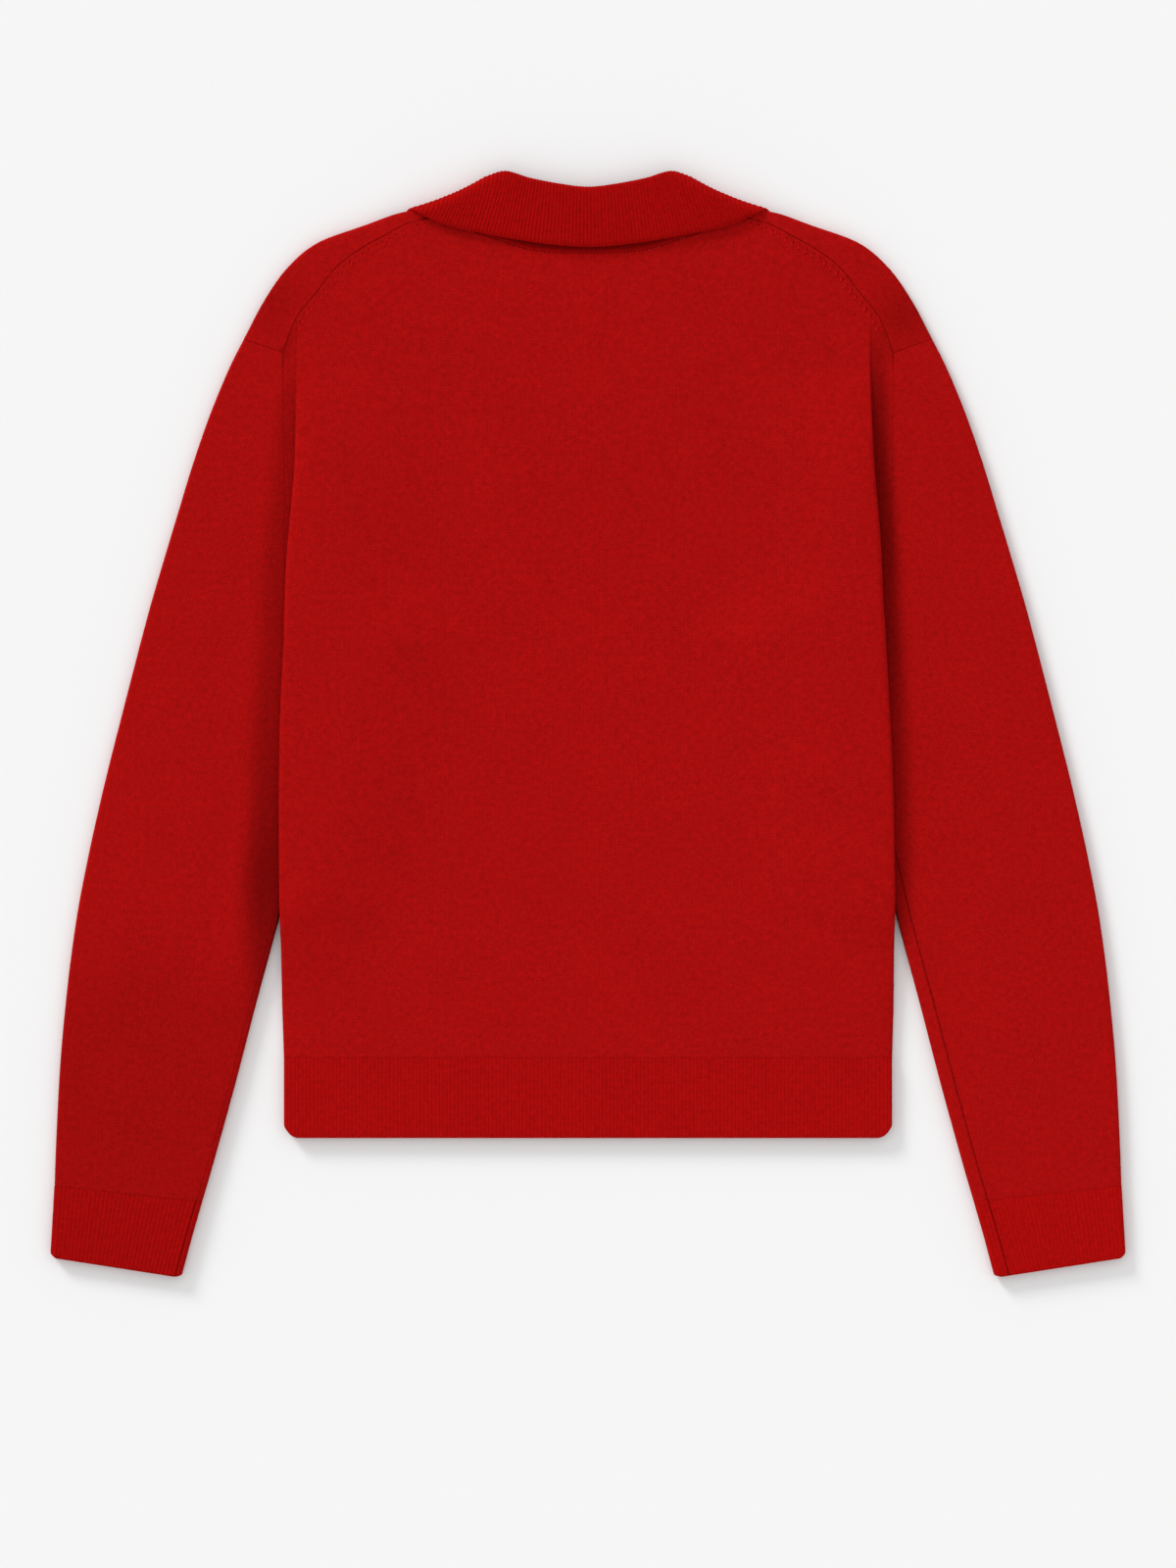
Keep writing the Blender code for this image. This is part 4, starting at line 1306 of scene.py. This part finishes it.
@dataclass
class Sleeve(ClothPiece):
    """A sleeve from the dropped armhole to the cuff, flattened into two layers."""

    side: Side = Side.RIGHT
    seam_shift: float = 7.0 * MM  # the underarm seam, from the inner fold
    first_shift: float = 2.6 * MM  # what it is at most where the tube closes
    shift_rows: float = 2.0  # rows of the table from there to its full shift
    last_open: int = 8  # last section that is open to the body
    counts: tuple[int, int, int] = (42, 12, 60)  # columns on top, round the edge and underneath
    head: tuple[float, float] = (197.75 * MM, 240.0 * MM)
    underarm_faint: float = -0.35 * MM
    faint_fade: float = 40 * MM
    tone: float = 0.0  # painted shade: how much darker the sleeve is painted at its end
    shading_start: float = -110 * MM
    shading_fade: float = 90 * MM

    def seam_faint(self, grid: np.ndarray) -> np.ndarray:
        """Returns how faint the seam along the sleeve is at each point."""
        below = ease((UNDERARM - grid[..., 1]) / self.faint_fade)
        return ARMHOLE_FAINT + (self.underarm_faint - ARMHOLE_FAINT) * below

    def seam_distance(self, grid: np.ndarray) -> np.ndarray:
        """Measures along the cloth from the nearest sewn edge.

        Args:
            grid: the sleeve's grid.

        Returns:
            How far each point is from it, and more where that edge is faint.
        """
        away = super().seam_distance(grid)
        for border in (Border.FIRST_COLUMN, Border.LAST_COLUMN):
            away = np.minimum(away, self.from_border(grid, border) + self.seam_faint(grid))
        return away

    def parted(self, parts: tuple[list, list, list]) -> np.ndarray:
        """Gives the parts of every section the same numbers of points.

        Args:
            parts: the ways over the top layer, round the outer edge and underneath.

        Returns:
            The section's points.
        """
        top, turned, rest = (
            resample(part, count + 1, FOLD_BEND) for part, count in zip(parts, self.counts)
        )
        return np.concatenate([top, turned[1:], rest[1:]])

    def open_section(self, order: float) -> np.ndarray:
        """Draws a section at the armhole: two layers with their own ends.

        Args:
            order: the section.

        Returns:
            Its points.
        """
        outer, (_, y) = tube_ends(SLEEVE, order)
        if order < 1:
            first = SLEEVE.number("inner_y", 1) * MM
            start = np.array((BODY.length("seam", first) + JOIN, first))
            top_end = (1 - order) * np.array(self.head) + order * start
        else:
            top_end = np.array((BODY.length("seam", y) + JOIN, y))
        low_end = np.array((BODY.length("front", y) + JOIN, y))
        inner = top_end + (low_end - top_end) / 2 * min(order, 1)
        turned = outer_turn(outer, inner, CLOTH / 2)[1]
        top = [(*top_end, CLOTH / 2 + LAYER), turned[0]]
        return self.parted((top, turned, [turned[-1], (*low_end, CLOTH / 2)]))

    def tube_section(self, order: float) -> np.ndarray:
        """Draws a section past the underarm.

        Args:
            order: the section.

        Returns:
            Its points.
        """
        past = ease((order - self.last_open - 1) / self.shift_rows)
        first = min(self.first_shift, self.seam_shift)
        shift = first + (self.seam_shift - first) * past
        return self.parted(closed_section(*tube_ends(SLEEVE, order), shift, CLOTH / 2))

    def section(self, order: float) -> np.ndarray:
        """Draws a section of the whole sleeve.

        Args:
            order: the section, between two rows of the table where it is a fraction.

        Returns:
            Its points.
        """
        closing = order - self.last_open
        if closing <= 0:
            return self.open_section(order)
        if closing >= 1:
            return self.tube_section(order)
        share = ease(closing)
        start, end = self.open_section(self.last_open), self.tube_section(self.last_open + 1)
        return (1 - share) * start + share * end

    def orders(self) -> np.ndarray:
        """Spaces the sections evenly along the outer edge.

        Returns:
            Their orders.
        """
        outer = SLEEVE.points("outer_x", "outer_y", "order")
        outer[:, 2] = 0
        way = reached(outer[None], 1)[0]
        wanted = np.linspace(0, way[-1], round(way[-1] / STEP))
        return np.interp(wanted, way, SLEEVE.rows[:, 0])

    def turned_out(self, grid: np.ndarray) -> tuple[np.ndarray, int]:
        """Puts a grid on the piece's side.

        Args:
            grid: the grid on the right side.

        Returns:
            The grid with its outside outwards, and the column of its outer edge.
        """
        edge = self.counts[0] + self.counts[1] // 2
        if self.side is Side.RIGHT:
            return grid, edge
        return (grid * (-1, 1, 1))[:, ::-1], grid.shape[1] - 1 - edge

    def weave(self) -> Weave:
        """Returns the sleeve's grid, mapped from its outer edge and its cuff."""
        grid = np.array([self.section(order) for order in self.orders()])
        return Weave.laid(*self.turned_out(grid))

    def fold_shade(self, grid: np.ndarray) -> np.ndarray:
        """Returns the valleys' shade beside the body, and the painted shade that darkens the sleeve
        towards its end.
        """
        y = grid[..., 1]
        return valley_shade(grid[..., 0], y) + self.tone * ease((self.shading_start - y) / self.shading_fade)


@dataclass
class Cuff(Sleeve):
    """A ribbed cuff, flattened as its sleeve is."""

    outer_corner: float = 3.5 * MM
    inner_corner: float = 6.0 * MM

    def rounded(self, grid: np.ndarray) -> np.ndarray:
        """Draws the lower edge in at the corners.

        Args:
            grid: the cuff's grid on the right side.

        Returns:
            The grid, with each of its columns shortened as much as its corner asks.
        """
        last = len(CUFF.rows) - 1
        outer, inner = tube_ends(CUFF, last)
        width = np.linalg.norm(inner - outer)
        across = (grid[-1, :, :2] - outer) @ (inner - outer) / width - CLOTH / 2
        pulled = np.zeros(len(across))
        for away, corner in ((across, self.outer_corner), (width - across, self.inner_corner)):
            near = np.clip(1 - away / corner, 0, 1)
            pulled += corner * (1 - np.sqrt(1 - near**2))
        kept = 1 - pulled / np.linalg.norm(grid[-1] - grid[0], axis=1)
        return grid[0] + (grid - grid[0]) * kept[:, None]

    def seam_faint(self, grid: np.ndarray) -> np.ndarray:
        """Returns how faint the underarm seam is at each point."""
        return np.full(grid.shape[:2], self.underarm_faint)

    def weave(self) -> Weave:
        """Draws the whole cuff.

        Returns:
            Its grid and its map, with the ribs carried evenly round it.
        """
        last = len(CUFF.rows) - 1
        length = (CUFF.number("outer_y", 0) - CUFF.number("outer_y", last)) * MM
        sections = []
        for order in last * edge_spaced(length, free_end=True):
            ends = tube_ends(CUFF, order)
            top, turned, rest = closed_section(*ends, self.seam_shift, RIBBED / 2)
            sections.append(top + turned[1:] + rest[1:])
        ribs = round(path_length(sections[0]) / self.finish.wale)
        grid = np.array([resample(path, RIB_COLUMNS * ribs + 1) for path in sections])
        return Weave.in_ribs(self.turned_out(self.rounded(grid))[0], self.finish.wale)


@dataclass
class BackHem(ClothPiece):
    """The hem band of the back, folded round to the front at its ends."""

    corner: float = 9.0 * MM  # radius of the lower corners
    rise: float = (RIBBED - CLOTH) / 2

    def edge(self) -> float:
        """Returns how far out the middle of the band's cloth reaches."""
        return crest_at(HEM_TOP, Side.RIGHT) - self.thickness / 2 - self.rib_depth / 2

    def rows(self, x: np.ndarray) -> np.ndarray:
        """Places the band's rows, with the lower corners rounded.

        Args:
            x: how far out each column lies.

        Returns:
            Y of every point of the grid.
        """
        past = np.clip(abs(x) - (self.edge() - self.corner), 0, self.corner)
        lowest = HEM_END + self.corner - np.sqrt(self.corner**2 - past**2)
        top = HEM_TOP - JOIN / 2
        shares = edge_spaced(top - HEM_END, free_end=True)
        return top + (lowest - top) * shares[:, None]

    def line(self) -> np.ndarray:
        """Draws the band's section, from its left end over the top to its right end.

        Returns:
            X, Y and Z of its points, with Y left at 0.
        """
        edge = self.edge()
        radius = LAYER / 2
        top = layer(2) + self.rise
        half = [(0, 0, top)]
        half += [(x, 0, z) for x, z in arc((edge - radius, top - radius), radius, 90, -90)]
        half.append((BODY.length("front", HEM_TOP) + JOIN, 0, top - LAYER))
        return halves(np.array([half]), np.array([half]))[0]

    def weave(self) -> Weave:
        """Draws the whole band.

        Returns:
            Its grid and its map, with the ribs carried evenly along it.
        """
        path = self.line()
        ribs = round(path_length(path) / self.finish.wale)
        line = resample(path, RIB_COLUMNS * ribs + 1)
        heights = self.rows(line[:, 0])
        grid = np.stack(np.broadcast_arrays(line[:, 0], heights, line[:, 2]), axis=2)
        return Weave.in_ribs(grid, self.finish.wale)


@dataclass
class FrontHem(BackHem):
    """The hem band of the front, which lies flat."""

    def line(self) -> np.ndarray:
        """Draws the band's section from its right end, which turns its outside down."""
        edge = BODY.length("front", HEM_TOP)
        return np.array([(edge, 0, RIBBED / 2), (-edge, 0, RIBBED / 2)])


class Lap:
    """The fold at the collar's side, which carries the strip round from the back to the front."""

    def __init__(self) -> None:
        """Works out the fold's line from the collar's side edge."""
        low, high = np.array(LAP[0]), np.array(LAP[1])
        self.way = (high - low) / np.linalg.norm(high - low)
        self.size = float(np.linalg.norm(high - low))
        self.out = np.array((self.way[1], -self.way[0]))
        self.middle = RIBBED / 2 + 1.5 * COLLAR_LAYER
        self.start = low - self.out * self.middle
        self.turn_length = math.pi * COLLAR_LAYER

    def open_out(self, point: np.ndarray, under: bool) -> np.ndarray:
        """Opens the folded strip out flat.

        Args:
            point: a point of it, from above.
            under: whether the point is on the front's side.

        Returns:
            Where the point lies then.
        """
        if not under:
            return point
        inside = np.dot(self.start - point, self.out)
        return point + self.out * (2 * inside + self.turn_length)

    def fold(self, point: np.ndarray, stack: float) -> tuple[float, float, float]:
        """Folds a point of the flat strip at the lap.

        Args:
            point: the point, seen from above.
            stack: its height over the strip's middle.

        Returns:
            The point where it is worn.
        """
        past = np.dot(point - self.start, self.out)
        if past <= 0:
            return (*point, self.middle + stack)
        base = point - self.out * past
        if past >= self.turn_length:
            height = max(self.middle - stack, RIBBED / 2)
            return (*(base - self.out * (past - self.turn_length)), height)
        angle = past / COLLAR_LAYER
        height = max(self.middle + stack * math.cos(angle), RIBBED / 2)
        return (*(base + self.out * stack * math.sin(angle)), height)


@dataclass
class Collar(ClothPiece):
    """One ribbed strip: the stand, the roll and the fall, from one front end to the other."""

    rows: int = 38
    fall_steps: int = 4 * ARC_STEPS
    bend: float = 8 * MM
    edge_rows: tuple[float, float] = (11 / 19, 17 / 19)  # more rows in the last step before the edge
    showing: float = 6.3  # the order up to which the ribs show from above
    hidden_columns: int = 3
    measured: int = 400  # steps to each row of the table when the edge is measured
    waist: float = 2.4 * MM  # how far the side edges are drawn in at their middle
    waist_width: float = 25 * MM  # how far in from the side edge the cloth follows
    waist_pace: float = 1.15  # how fast the waist runs out along the side edge
    belly: float = 0.6 * MM  # how far the fall swells between its roll and its edge
    stand_shade: float = 0.45  # how much of its light the stand loses under the fall
    shaded: tuple[float, float] = (1 * MM, 3 * MM)  # from the neck edge to where that starts and is full
    stand_share: tuple[float, float] = (0.3, 0.45)  # shares of the rows between which it ends

    def column(self, lap: Lap, neck: np.ndarray, roll: np.ndarray, edge: np.ndarray) -> np.ndarray:
        """Draws one line of the collar: up the stand, over the roll and down the fall.

        Args:
            lap: the fold at the collar's side.
            neck: the line's end at the neck, in the strip opened out flat.
            roll: where it turns.
            edge: its end at the collar's outer edge.

        Returns:
            Points, each with the share of the ribs' relief that it has.
        """
        radius = COLLAR_LAYER / 2
        low = radius
        outward = roll - (neck + edge) / 2
        outward /= np.linalg.norm(outward)
        path = [(neck + (roll - neck) * t, low, 0) for t in np.linspace(0, 1, ARC_STEPS)]
        for reach, height in arc((0, low + radius), radius, -90, 90)[1:-1]:
            path.append((roll + outward * reach, height, (height - low) / (2 * radius)))
        for t in np.linspace(0, 1, self.fall_steps):
            swell = self.belly * math.sin(math.pi * t)
            path.append((roll + (edge - roll) * t, low + 2 * radius + swell, 1))
        folded = [(*lap.fold(place, stack), ribbed) for place, stack, ribbed in path]
        points = resample(folded, self.rows, self.bend)
        start, end = np.array(folded[-2]), np.array(folded[-1])
        last = [start + (end - start) * share for share in self.edge_rows]
        return np.concatenate([points[:-1], last, points[-1:]])

    def stations(self, edge: np.ndarray) -> tuple[np.ndarray, np.ndarray]:
        """Places the collar's lines along its edge.

        Args:
            edge: the edge's points in the strip opened out flat.

        Returns:
            The lines' orders, and how far each is along the edge in ribs.
        """
        fine = np.linspace(0, len(edge) - 1, self.measured * len(edge))
        curve = flow(edge, fine)
        way = reached(np.insert(curve, 2, 0.0, axis=1)[None], 1)[0] / RIB_PITCH
        shown = round(float(np.interp(self.showing, fine, way)))
        total = round(way[-1])
        ribs = np.concatenate(
            [
                np.arange(0, shown, 1 / RIB_COLUMNS),
                np.arange(shown, total, 1 / self.hidden_columns),
                [total],
            ]
        )
        return np.interp(ribs * way[-1] / total, way, fine), ribs

    def fold_shade(self, grid: np.ndarray) -> np.ndarray:
        """Works out the shade on the stand, under the fall.

        Args:
            grid: the collar's grid.

        Returns:
            How much of its light each point loses.
        """
        rows = np.arange(grid.shape[0])[:, None] / grid.shape[0]
        away = self.from_border(grid, Border.FIRST_ROW)
        (start, full), (last, end) = self.shaded, self.stand_share
        inside = ease((away - start) / (full - start))
        return self.stand_shade * inside * (1 - ease((rows - last) / (end - last)))

    def drawn_in(self, points: np.ndarray, lap: Lap) -> np.ndarray:
        """Draws the side edges in.

        Args:
            points: points of the worn collar.
            lap: the fold at its side.

        Returns:
            The moved points.
        """
        inside = (points[..., :2] - np.array(LAP[0])) @ lap.out
        along = (points[..., :2] - np.array(LAP[0])) @ lap.way / lap.size
        bow = np.sin(math.pi * np.clip(along * self.waist_pace, 0, 1))
        bow *= ease(1 + inside / self.waist_width)
        moved = points.copy()
        moved[..., :2] -= self.waist * bow[..., None] * lap.out
        return moved

    def weave(self) -> Weave:
        """Draws the whole strip.

        Returns:
            Its grid and its map, and the ribs' share of their relief.
        """
        lap = Lap()
        lines = []
        for name in ("neck", "roll", "edge"):
            rows = COLLAR.points(name + "_x", name + "_y", name + "_under")
            lines.append(np.array([lap.open_out(row[:2], row[2] > 0) for row in rows]))
        orders, ribs = self.stations(lines[2])
        ends = zip(*(flow(line, orders) for line in lines))
        right = np.array([self.column(lap, *three) for three in ends]).transpose(1, 0, 2)
        grid = self.drawn_in(right[:, :, :3], lap)
        share = right[:, :, 3]
        along = Weave.laid(grid, 0).along
        grid = halves(grid, grid)
        ribs = np.concatenate([-ribs[:0:-1], ribs]) * self.finish.wale
        share = np.concatenate([share[:, :0:-1], share], axis=1)
        along = np.concatenate([along[:, :0:-1], along], axis=1)
        return Weave(grid, np.broadcast_to(ribs, share.shape), along, share)


# Small stitches


@dataclass
class LoopRow:
    """A row of raised knit loops on the back, one mesh."""

    name: str
    line: np.ndarray
    spacing: float
    length: float
    width: float
    height: float
    slant: float = 0.0  # degrees by which the loops lean from the line's square
    sunk: float = 0.1 * MM
    bow: float = 0.25  # how far a loop is bent, in its widths
    wave: float = 2.4  # radians from one loop's unevenness to the next one's
    wobble: float = 6.0  # degrees by which the loops turn unevenly
    swelling: float = 0.1  # share by which their sizes differ
    above: float = 1.0  # a height over the whole garment
    tone: float = 1.15  # painted light and shade: how much brighter or darker than the cloth the loops are painted
    mottle: float = 0.4
    mottle_scale: float = 1200.0
    node: str = "back"
    cloth: str = "back_panel"

    def loop(self) -> bpy.types.Object:
        """Makes the loop that the others are copied from.

        Returns:
            A plump bent stitch.
        """
        bpy.ops.object.select_all(action="DESELECT")
        bpy.ops.mesh.primitive_uv_sphere_add(segments=10, ring_count=6, radius=0.5)
        made = bpy.context.object
        places = np.zeros(len(made.data.vertices) * 3)
        made.data.vertices.foreach_get("co", places)
        places = places.reshape(-1, 3) * (self.width, self.length, self.height)
        places[:, 0] += self.bow * self.width * np.cos(math.pi * places[:, 1] / self.length)
        made.data.vertices.foreach_set("co", places.ravel())
        return made

    def copies(self) -> list[bpy.types.Object]:
        """Copies the loop along the line, each onto the cloth below it.

        Returns:
            The copies.
        """
        pattern = self.loop()
        count = round(path_length(self.line) / self.spacing) + 1
        centres = resample(np.insert(self.line, 2, 0.0, axis=1), count)
        ways = np.gradient(centres[:, :2], axis=0)
        cloth = bpy.data.objects[self.cloth]
        made = []
        for number, (centre, way) in enumerate(zip(centres, ways)):
            copy = bpy.data.objects.new(f"{self.name}_{number}", pattern.data.copy())
            bpy.context.scene.collection.objects.link(copy)
            uneven = math.sin(number * self.wave)
            lean = math.radians(self.slant + self.wobble * uneven)
            copy.rotation_euler.z = math.atan2(way[1], way[0]) + lean
            copy.scale = (1 + self.swelling * uneven,) * 3
            found = cloth.ray_cast((*centre[:2], self.above), (0.0, 0.0, -1.0))[1]
            copy.location = (*centre[:2], found[2] - self.sunk)
            made.append(copy)
        bpy.data.objects.remove(pattern)
        return made

    def build(self) -> bpy.types.Object:
        """Makes the row.

        Returns:
            The joined loops, with their place in their mesh.
        """
        copies = self.copies()
        bpy.ops.object.select_all(action="DESELECT")
        for copy in copies:
            copy.select_set(True)
        bpy.context.view_layer.objects.active = copies[0]
        bpy.ops.object.join()
        row = bpy.context.object
        bpy.ops.object.transform_apply()
        bpy.ops.object.shade_smooth()
        row.name = row.data.name = self.name
        row.data.materials.append(self.material())
        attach(row, "root")
        LOG.info("%s: %d loops", self.name, len(copies))
        return row

    def material(self) -> bpy.types.Material:
        """Makes the finish of single loops of the same yarn, painted brighter or darker, or returns it
        if it is made already.

        Returns:
            The material.
        """
        name = f"cashmere_yarn_{round(100 * self.tone)}"
        if name in bpy.data.materials:
            return bpy.data.materials[name]
        graph = Graph(name)
        value = graph.add(self.tone, graph.times(graph.noise(self.mottle_scale), self.mottle))
        graph.shade(
            {
                "Base Color": graph.tinted(JERSEY.colour, value),
                "Roughness": JERSEY.roughness,
                "Specular IOR Level": SPECULAR,
            }
        )
        return graph.material


# The garment and the studio


@dataclass(frozen=True)
class Arm:
    """How a sleeve and its cuff lie."""

    side: Side
    seam_shift: float  # the underarm seam, from the inner fold
    tone: float  # painted shade: how much darker the cloth is painted at its end
    underarm_faint: float


ARMS = (
    Arm(Side.LEFT, seam_shift=1.5 * MM, tone=0.12, underarm_faint=0.2 * MM),
    Arm(Side.RIGHT, seam_shift=7.0 * MM, tone=0.0, underarm_faint=-0.35 * MM),
)


@dataclass
class Sweater:
    """The whole garment."""

    neck_reach: float = 46 * MM  # how far out the neck's linking shows
    neck_inset: float = 0.6 * MM
    neck_loop: tuple[float, float, float] = (1.8 * MM, 1.6 * MM, 1.0 * MM)  # length, width and height
    fashioned: tuple[float, float] = (106 * MM, 191 * MM)  # where the marks of the shaping are
    fashioning_pitch: float = 4.9 * MM
    fashioning_inset: float = 5.0 * MM
    fashioning_slant: float = 25
    fashioning_loop: tuple[float, float, float] = (3.0 * MM, 1.3 * MM, 1.3 * MM)
    # painted light: the marks of the shaping are painted brighter than the cloth
    fashioning_highlight: float = 1.22
    dimple_gap: float = 1.9 * MM  # from a mark to the hollow beside it
    dimple_loop: tuple[float, float, float] = (1.9 * MM, 1.2 * MM, 0.5 * MM)
    # painted shade: the hollows beside the marks are dark loops, painted darker than the cloth
    dimple_shade: float = 0.62
    line_points: int = 60

    def front(self) -> list[ClothPiece]:
        """Describes the front.

        Returns:
            Its hem band and its panel.
        """
        hem = FrontHem(
            name="front_hem",
            node="hem_front",
            finish=BAND_RIB,
            flat=(0.3816, 0.052),
            thickness=RIBBED,
            sewn={Border.FIRST_ROW: FRONT_RIB_FAINT},
            free=(Border.LAST_ROW,),
        )
        panel = FrontPanel(
            name="front_panel",
            node="front",
            finish=JERSEY,
            flat=(0.46, 0.60),
            area=0.205,
            rests_on=("collar_strip", "left_sleeve", "right_sleeve"),
            sewn={
                Border.FIRST_ROW: 0.0,
                Border.LAST_ROW: FRONT_RIB_FAINT,
                Border.FIRST_COLUMN: 0.0,
                Border.LAST_COLUMN: 0.0,
            },
        )
        return [hem, panel]

    def arm(self, arm: Arm) -> list[ClothPiece]:
        """Describes one arm.

        Args:
            arm: how it lies.

        Returns:
            Its sleeve and its cuff.
        """
        word = arm.side.name.lower()
        sleeve = Sleeve(
            name=f"{word}_sleeve",
            node=f"sleeve_{word}",
            finish=JERSEY,
            flat=(0.29, 0.57),
            area=0.115,
            sewn={Border.FIRST_ROW: 0.0, Border.LAST_ROW: RIB_FAINT},
            side=arm.side,
            seam_shift=arm.seam_shift,
            tone=arm.tone,
            underarm_faint=arm.underarm_faint,
        )
        cuff = Cuff(
            name=f"{word}_cuff",
            node=f"cuff_{word}",
            finish=CUFF_RIB,
            flat=(0.20, 0.047),
            thickness=RIBBED,
            sewn={Border.FIRST_ROW: RIB_FAINT},
            free=(Border.LAST_ROW,),
            rib_depth=0.25 * MM,
            side=arm.side,
            seam_shift=arm.seam_shift,
            tone=arm.tone,
        )
        return [sleeve, cuff]

    def back(self) -> list[ClothPiece]:
        """Describes the back.

        Returns:
            Its panel and its hem band.
        """
        panel = BackPanel(
            name="back_panel",
            node="back",
            finish=JERSEY,
            flat=(0.48, 0.545),
            area=0.215,
            rests_on=("front_panel", "left_sleeve", "right_sleeve"),
            sewn={
                Border.FIRST_ROW: 0.0,
                Border.LAST_ROW: RIB_FAINT,
                Border.FIRST_COLUMN: ARMHOLE_FAINT,
                Border.LAST_COLUMN: ARMHOLE_FAINT,
            },
        )
        hem = BackHem(
            name="back_hem",
            node="hem_back",
            finish=BAND_RIB,
            flat=(0.41, 0.052),
            thickness=RIBBED,
            rests_on=("front_hem",),
            sewn={Border.FIRST_ROW: RIB_FAINT},
            free=(Border.LAST_ROW,),
            rib_depth=0.22 * MM,
        )
        return [panel, hem]

    def collar(self) -> Collar:
        """Describes the collar.

        Returns:
            Its one strip.
        """
        return Collar(
            name="collar_strip",
            node="collar",
            finish=COLLAR_RIB,
            flat=(0.60, 0.078),
            thickness=RIBBED,
            rests_on=("back_panel",),
            free=(Border.LAST_ROW,),
            rib_depth=0.45 * MM,
        )

    def neck_row(self) -> LoopRow:
        """Places the loops that link the collar to the back.

        Returns:
            Their row.
        """
        x = np.linspace(-self.neck_reach, self.neck_reach, 40)
        line = np.stack([x, BACK_EDGE.length("y", abs(x)) - self.neck_inset], axis=1)
        return LoopRow("neck_linking", line, RIB_PITCH, *self.neck_loop)

    def shoulder_rows(self, side: Side) -> list[LoopRow]:
        """Places the marks of the shaping beside a shoulder seam.

        Args:
            side: which shoulder.

        Returns:
            The row of marks, painted brighter, and the row of dark loops that paint the shade of the
            hollows beside them.
        """
        x = np.linspace(*self.fashioned, self.line_points)
        edge = np.stack([x, BACK_EDGE.length("y", x)], axis=1)
        way = np.gradient(edge, axis=0)
        way /= np.linalg.norm(way, axis=1, keepdims=True)
        inward = np.stack([way[:, 1], -way[:, 0]], axis=1)
        marks = ("fashioning", self.fashioning_inset, self.fashioning_loop, self.fashioning_highlight)
        hollow_inset = self.fashioning_inset - self.dimple_gap
        # painted shade: the hollows are made as dark loops, painted darker than the cloth
        hollow_shades = ("dimples", hollow_inset, self.dimple_loop, self.dimple_shade)
        return [
            LoopRow(
                f"{name}_{side.name.lower()}",
                (edge + inset * inward) * (side.value, 1),
                self.fashioning_pitch,
                *size,
                slant=side.value * self.fashioning_slant,
                tone=tone,
            )
            for name, inset, size, tone in (marks, hollow_shades)
        ]

    def build(self) -> None:
        """Makes all of the garment's pieces, from the lowest up, and then its small stitches."""
        cut = self.front()
        for arm in ARMS:
            cut += self.arm(arm)
        cut += [*self.back(), self.collar()]
        stitched = [self.neck_row()]
        for side in Side:
            stitched += self.shoulder_rows(side)
        for piece in cut + stitched:
            piece.build()


@dataclass
class Studio:
    """The pale floor, the soft light and the camera straight above."""

    floor_size: float = 8.0
    floor_gap: float = 0.05 * MM  # keeps the floor clear of the cloth's flat underside
    floor_grey: float = 0.9
    grain: float = 0.002
    grain_scale: float = 60.0
    sky: float = 0.815
    sun: float = 1.95
    sun_elevation: float = 20.0
    sun_azimuth: float = 127.0  # degrees from +X towards +Y, where the light comes from
    sun_width: float = 16.0
    distance: float = 5.0
    view_height: float = 1.016
    view_centre: tuple[float, float] = (0.0, -39.05 * MM)

    def build(self) -> None:
        """Makes the floor, the lights and the camera."""
        self.lay_floor()
        self.hang_lights()
        self.place_camera()
        bpy.context.scene.view_settings.view_transform = "Standard"
        LOG.info("studio: floor, light and camera")

    def lay_floor(self) -> None:
        """Makes the floor that the garment lies on."""
        bpy.ops.object.select_all(action="DESELECT")
        bpy.ops.mesh.primitive_plane_add(size=self.floor_size, location=(0, 0, -self.floor_gap))
        bpy.ops.object.transform_apply()
        floor = bpy.context.object
        floor.name = "floor"
        graph = Graph("floor_paper")
        grey = graph.add(self.floor_grey, graph.times(graph.noise(self.grain_scale), self.grain))
        colour = graph.tinted((1.0, 1.0, 1.0), grey)
        graph.shade({"Base Color": colour, "Roughness": 1.0, "Specular IOR Level": 0.0})
        floor.data.materials.append(graph.material)

    def hang_lights(self) -> None:
        """Makes the low soft light from the upper left and the pale room."""
        lamp = bpy.data.lights.new("key_light", "SUN")
        lamp.energy = self.sun
        lamp.angle = math.radians(self.sun_width)
        key = bpy.data.objects.new("key_light", lamp)
        bpy.context.scene.collection.objects.link(key)
        key.rotation_euler = (
            0.0,
            math.radians(90 - self.sun_elevation),
            math.radians(self.sun_azimuth),
        )
        world = bpy.data.worlds.new("room")
        world.use_nodes = True
        background = world.node_tree.nodes["Background"]
        background.inputs["Color"].default_value = (1, 1, 1, 1)
        background.inputs["Strength"].default_value = self.sky
        bpy.context.scene.world = world

    def place_camera(self) -> None:
        """Makes the camera that looks straight down."""
        lens = bpy.data.cameras.new("camera")
        lens.lens = lens.sensor_width * self.distance / self.view_height
        camera = bpy.data.objects.new("camera", lens)
        camera.location = (*self.view_centre, self.distance)
        bpy.context.scene.collection.objects.link(camera)
        bpy.context.scene.camera = camera


def main() -> None:
    """Makes the garment and the studio round it."""
    logging.basicConfig(level=logging.INFO, format="%(name)s: %(message)s")
    Sweater().build()
    Studio().build()


if __name__ == "__main__":
    main()
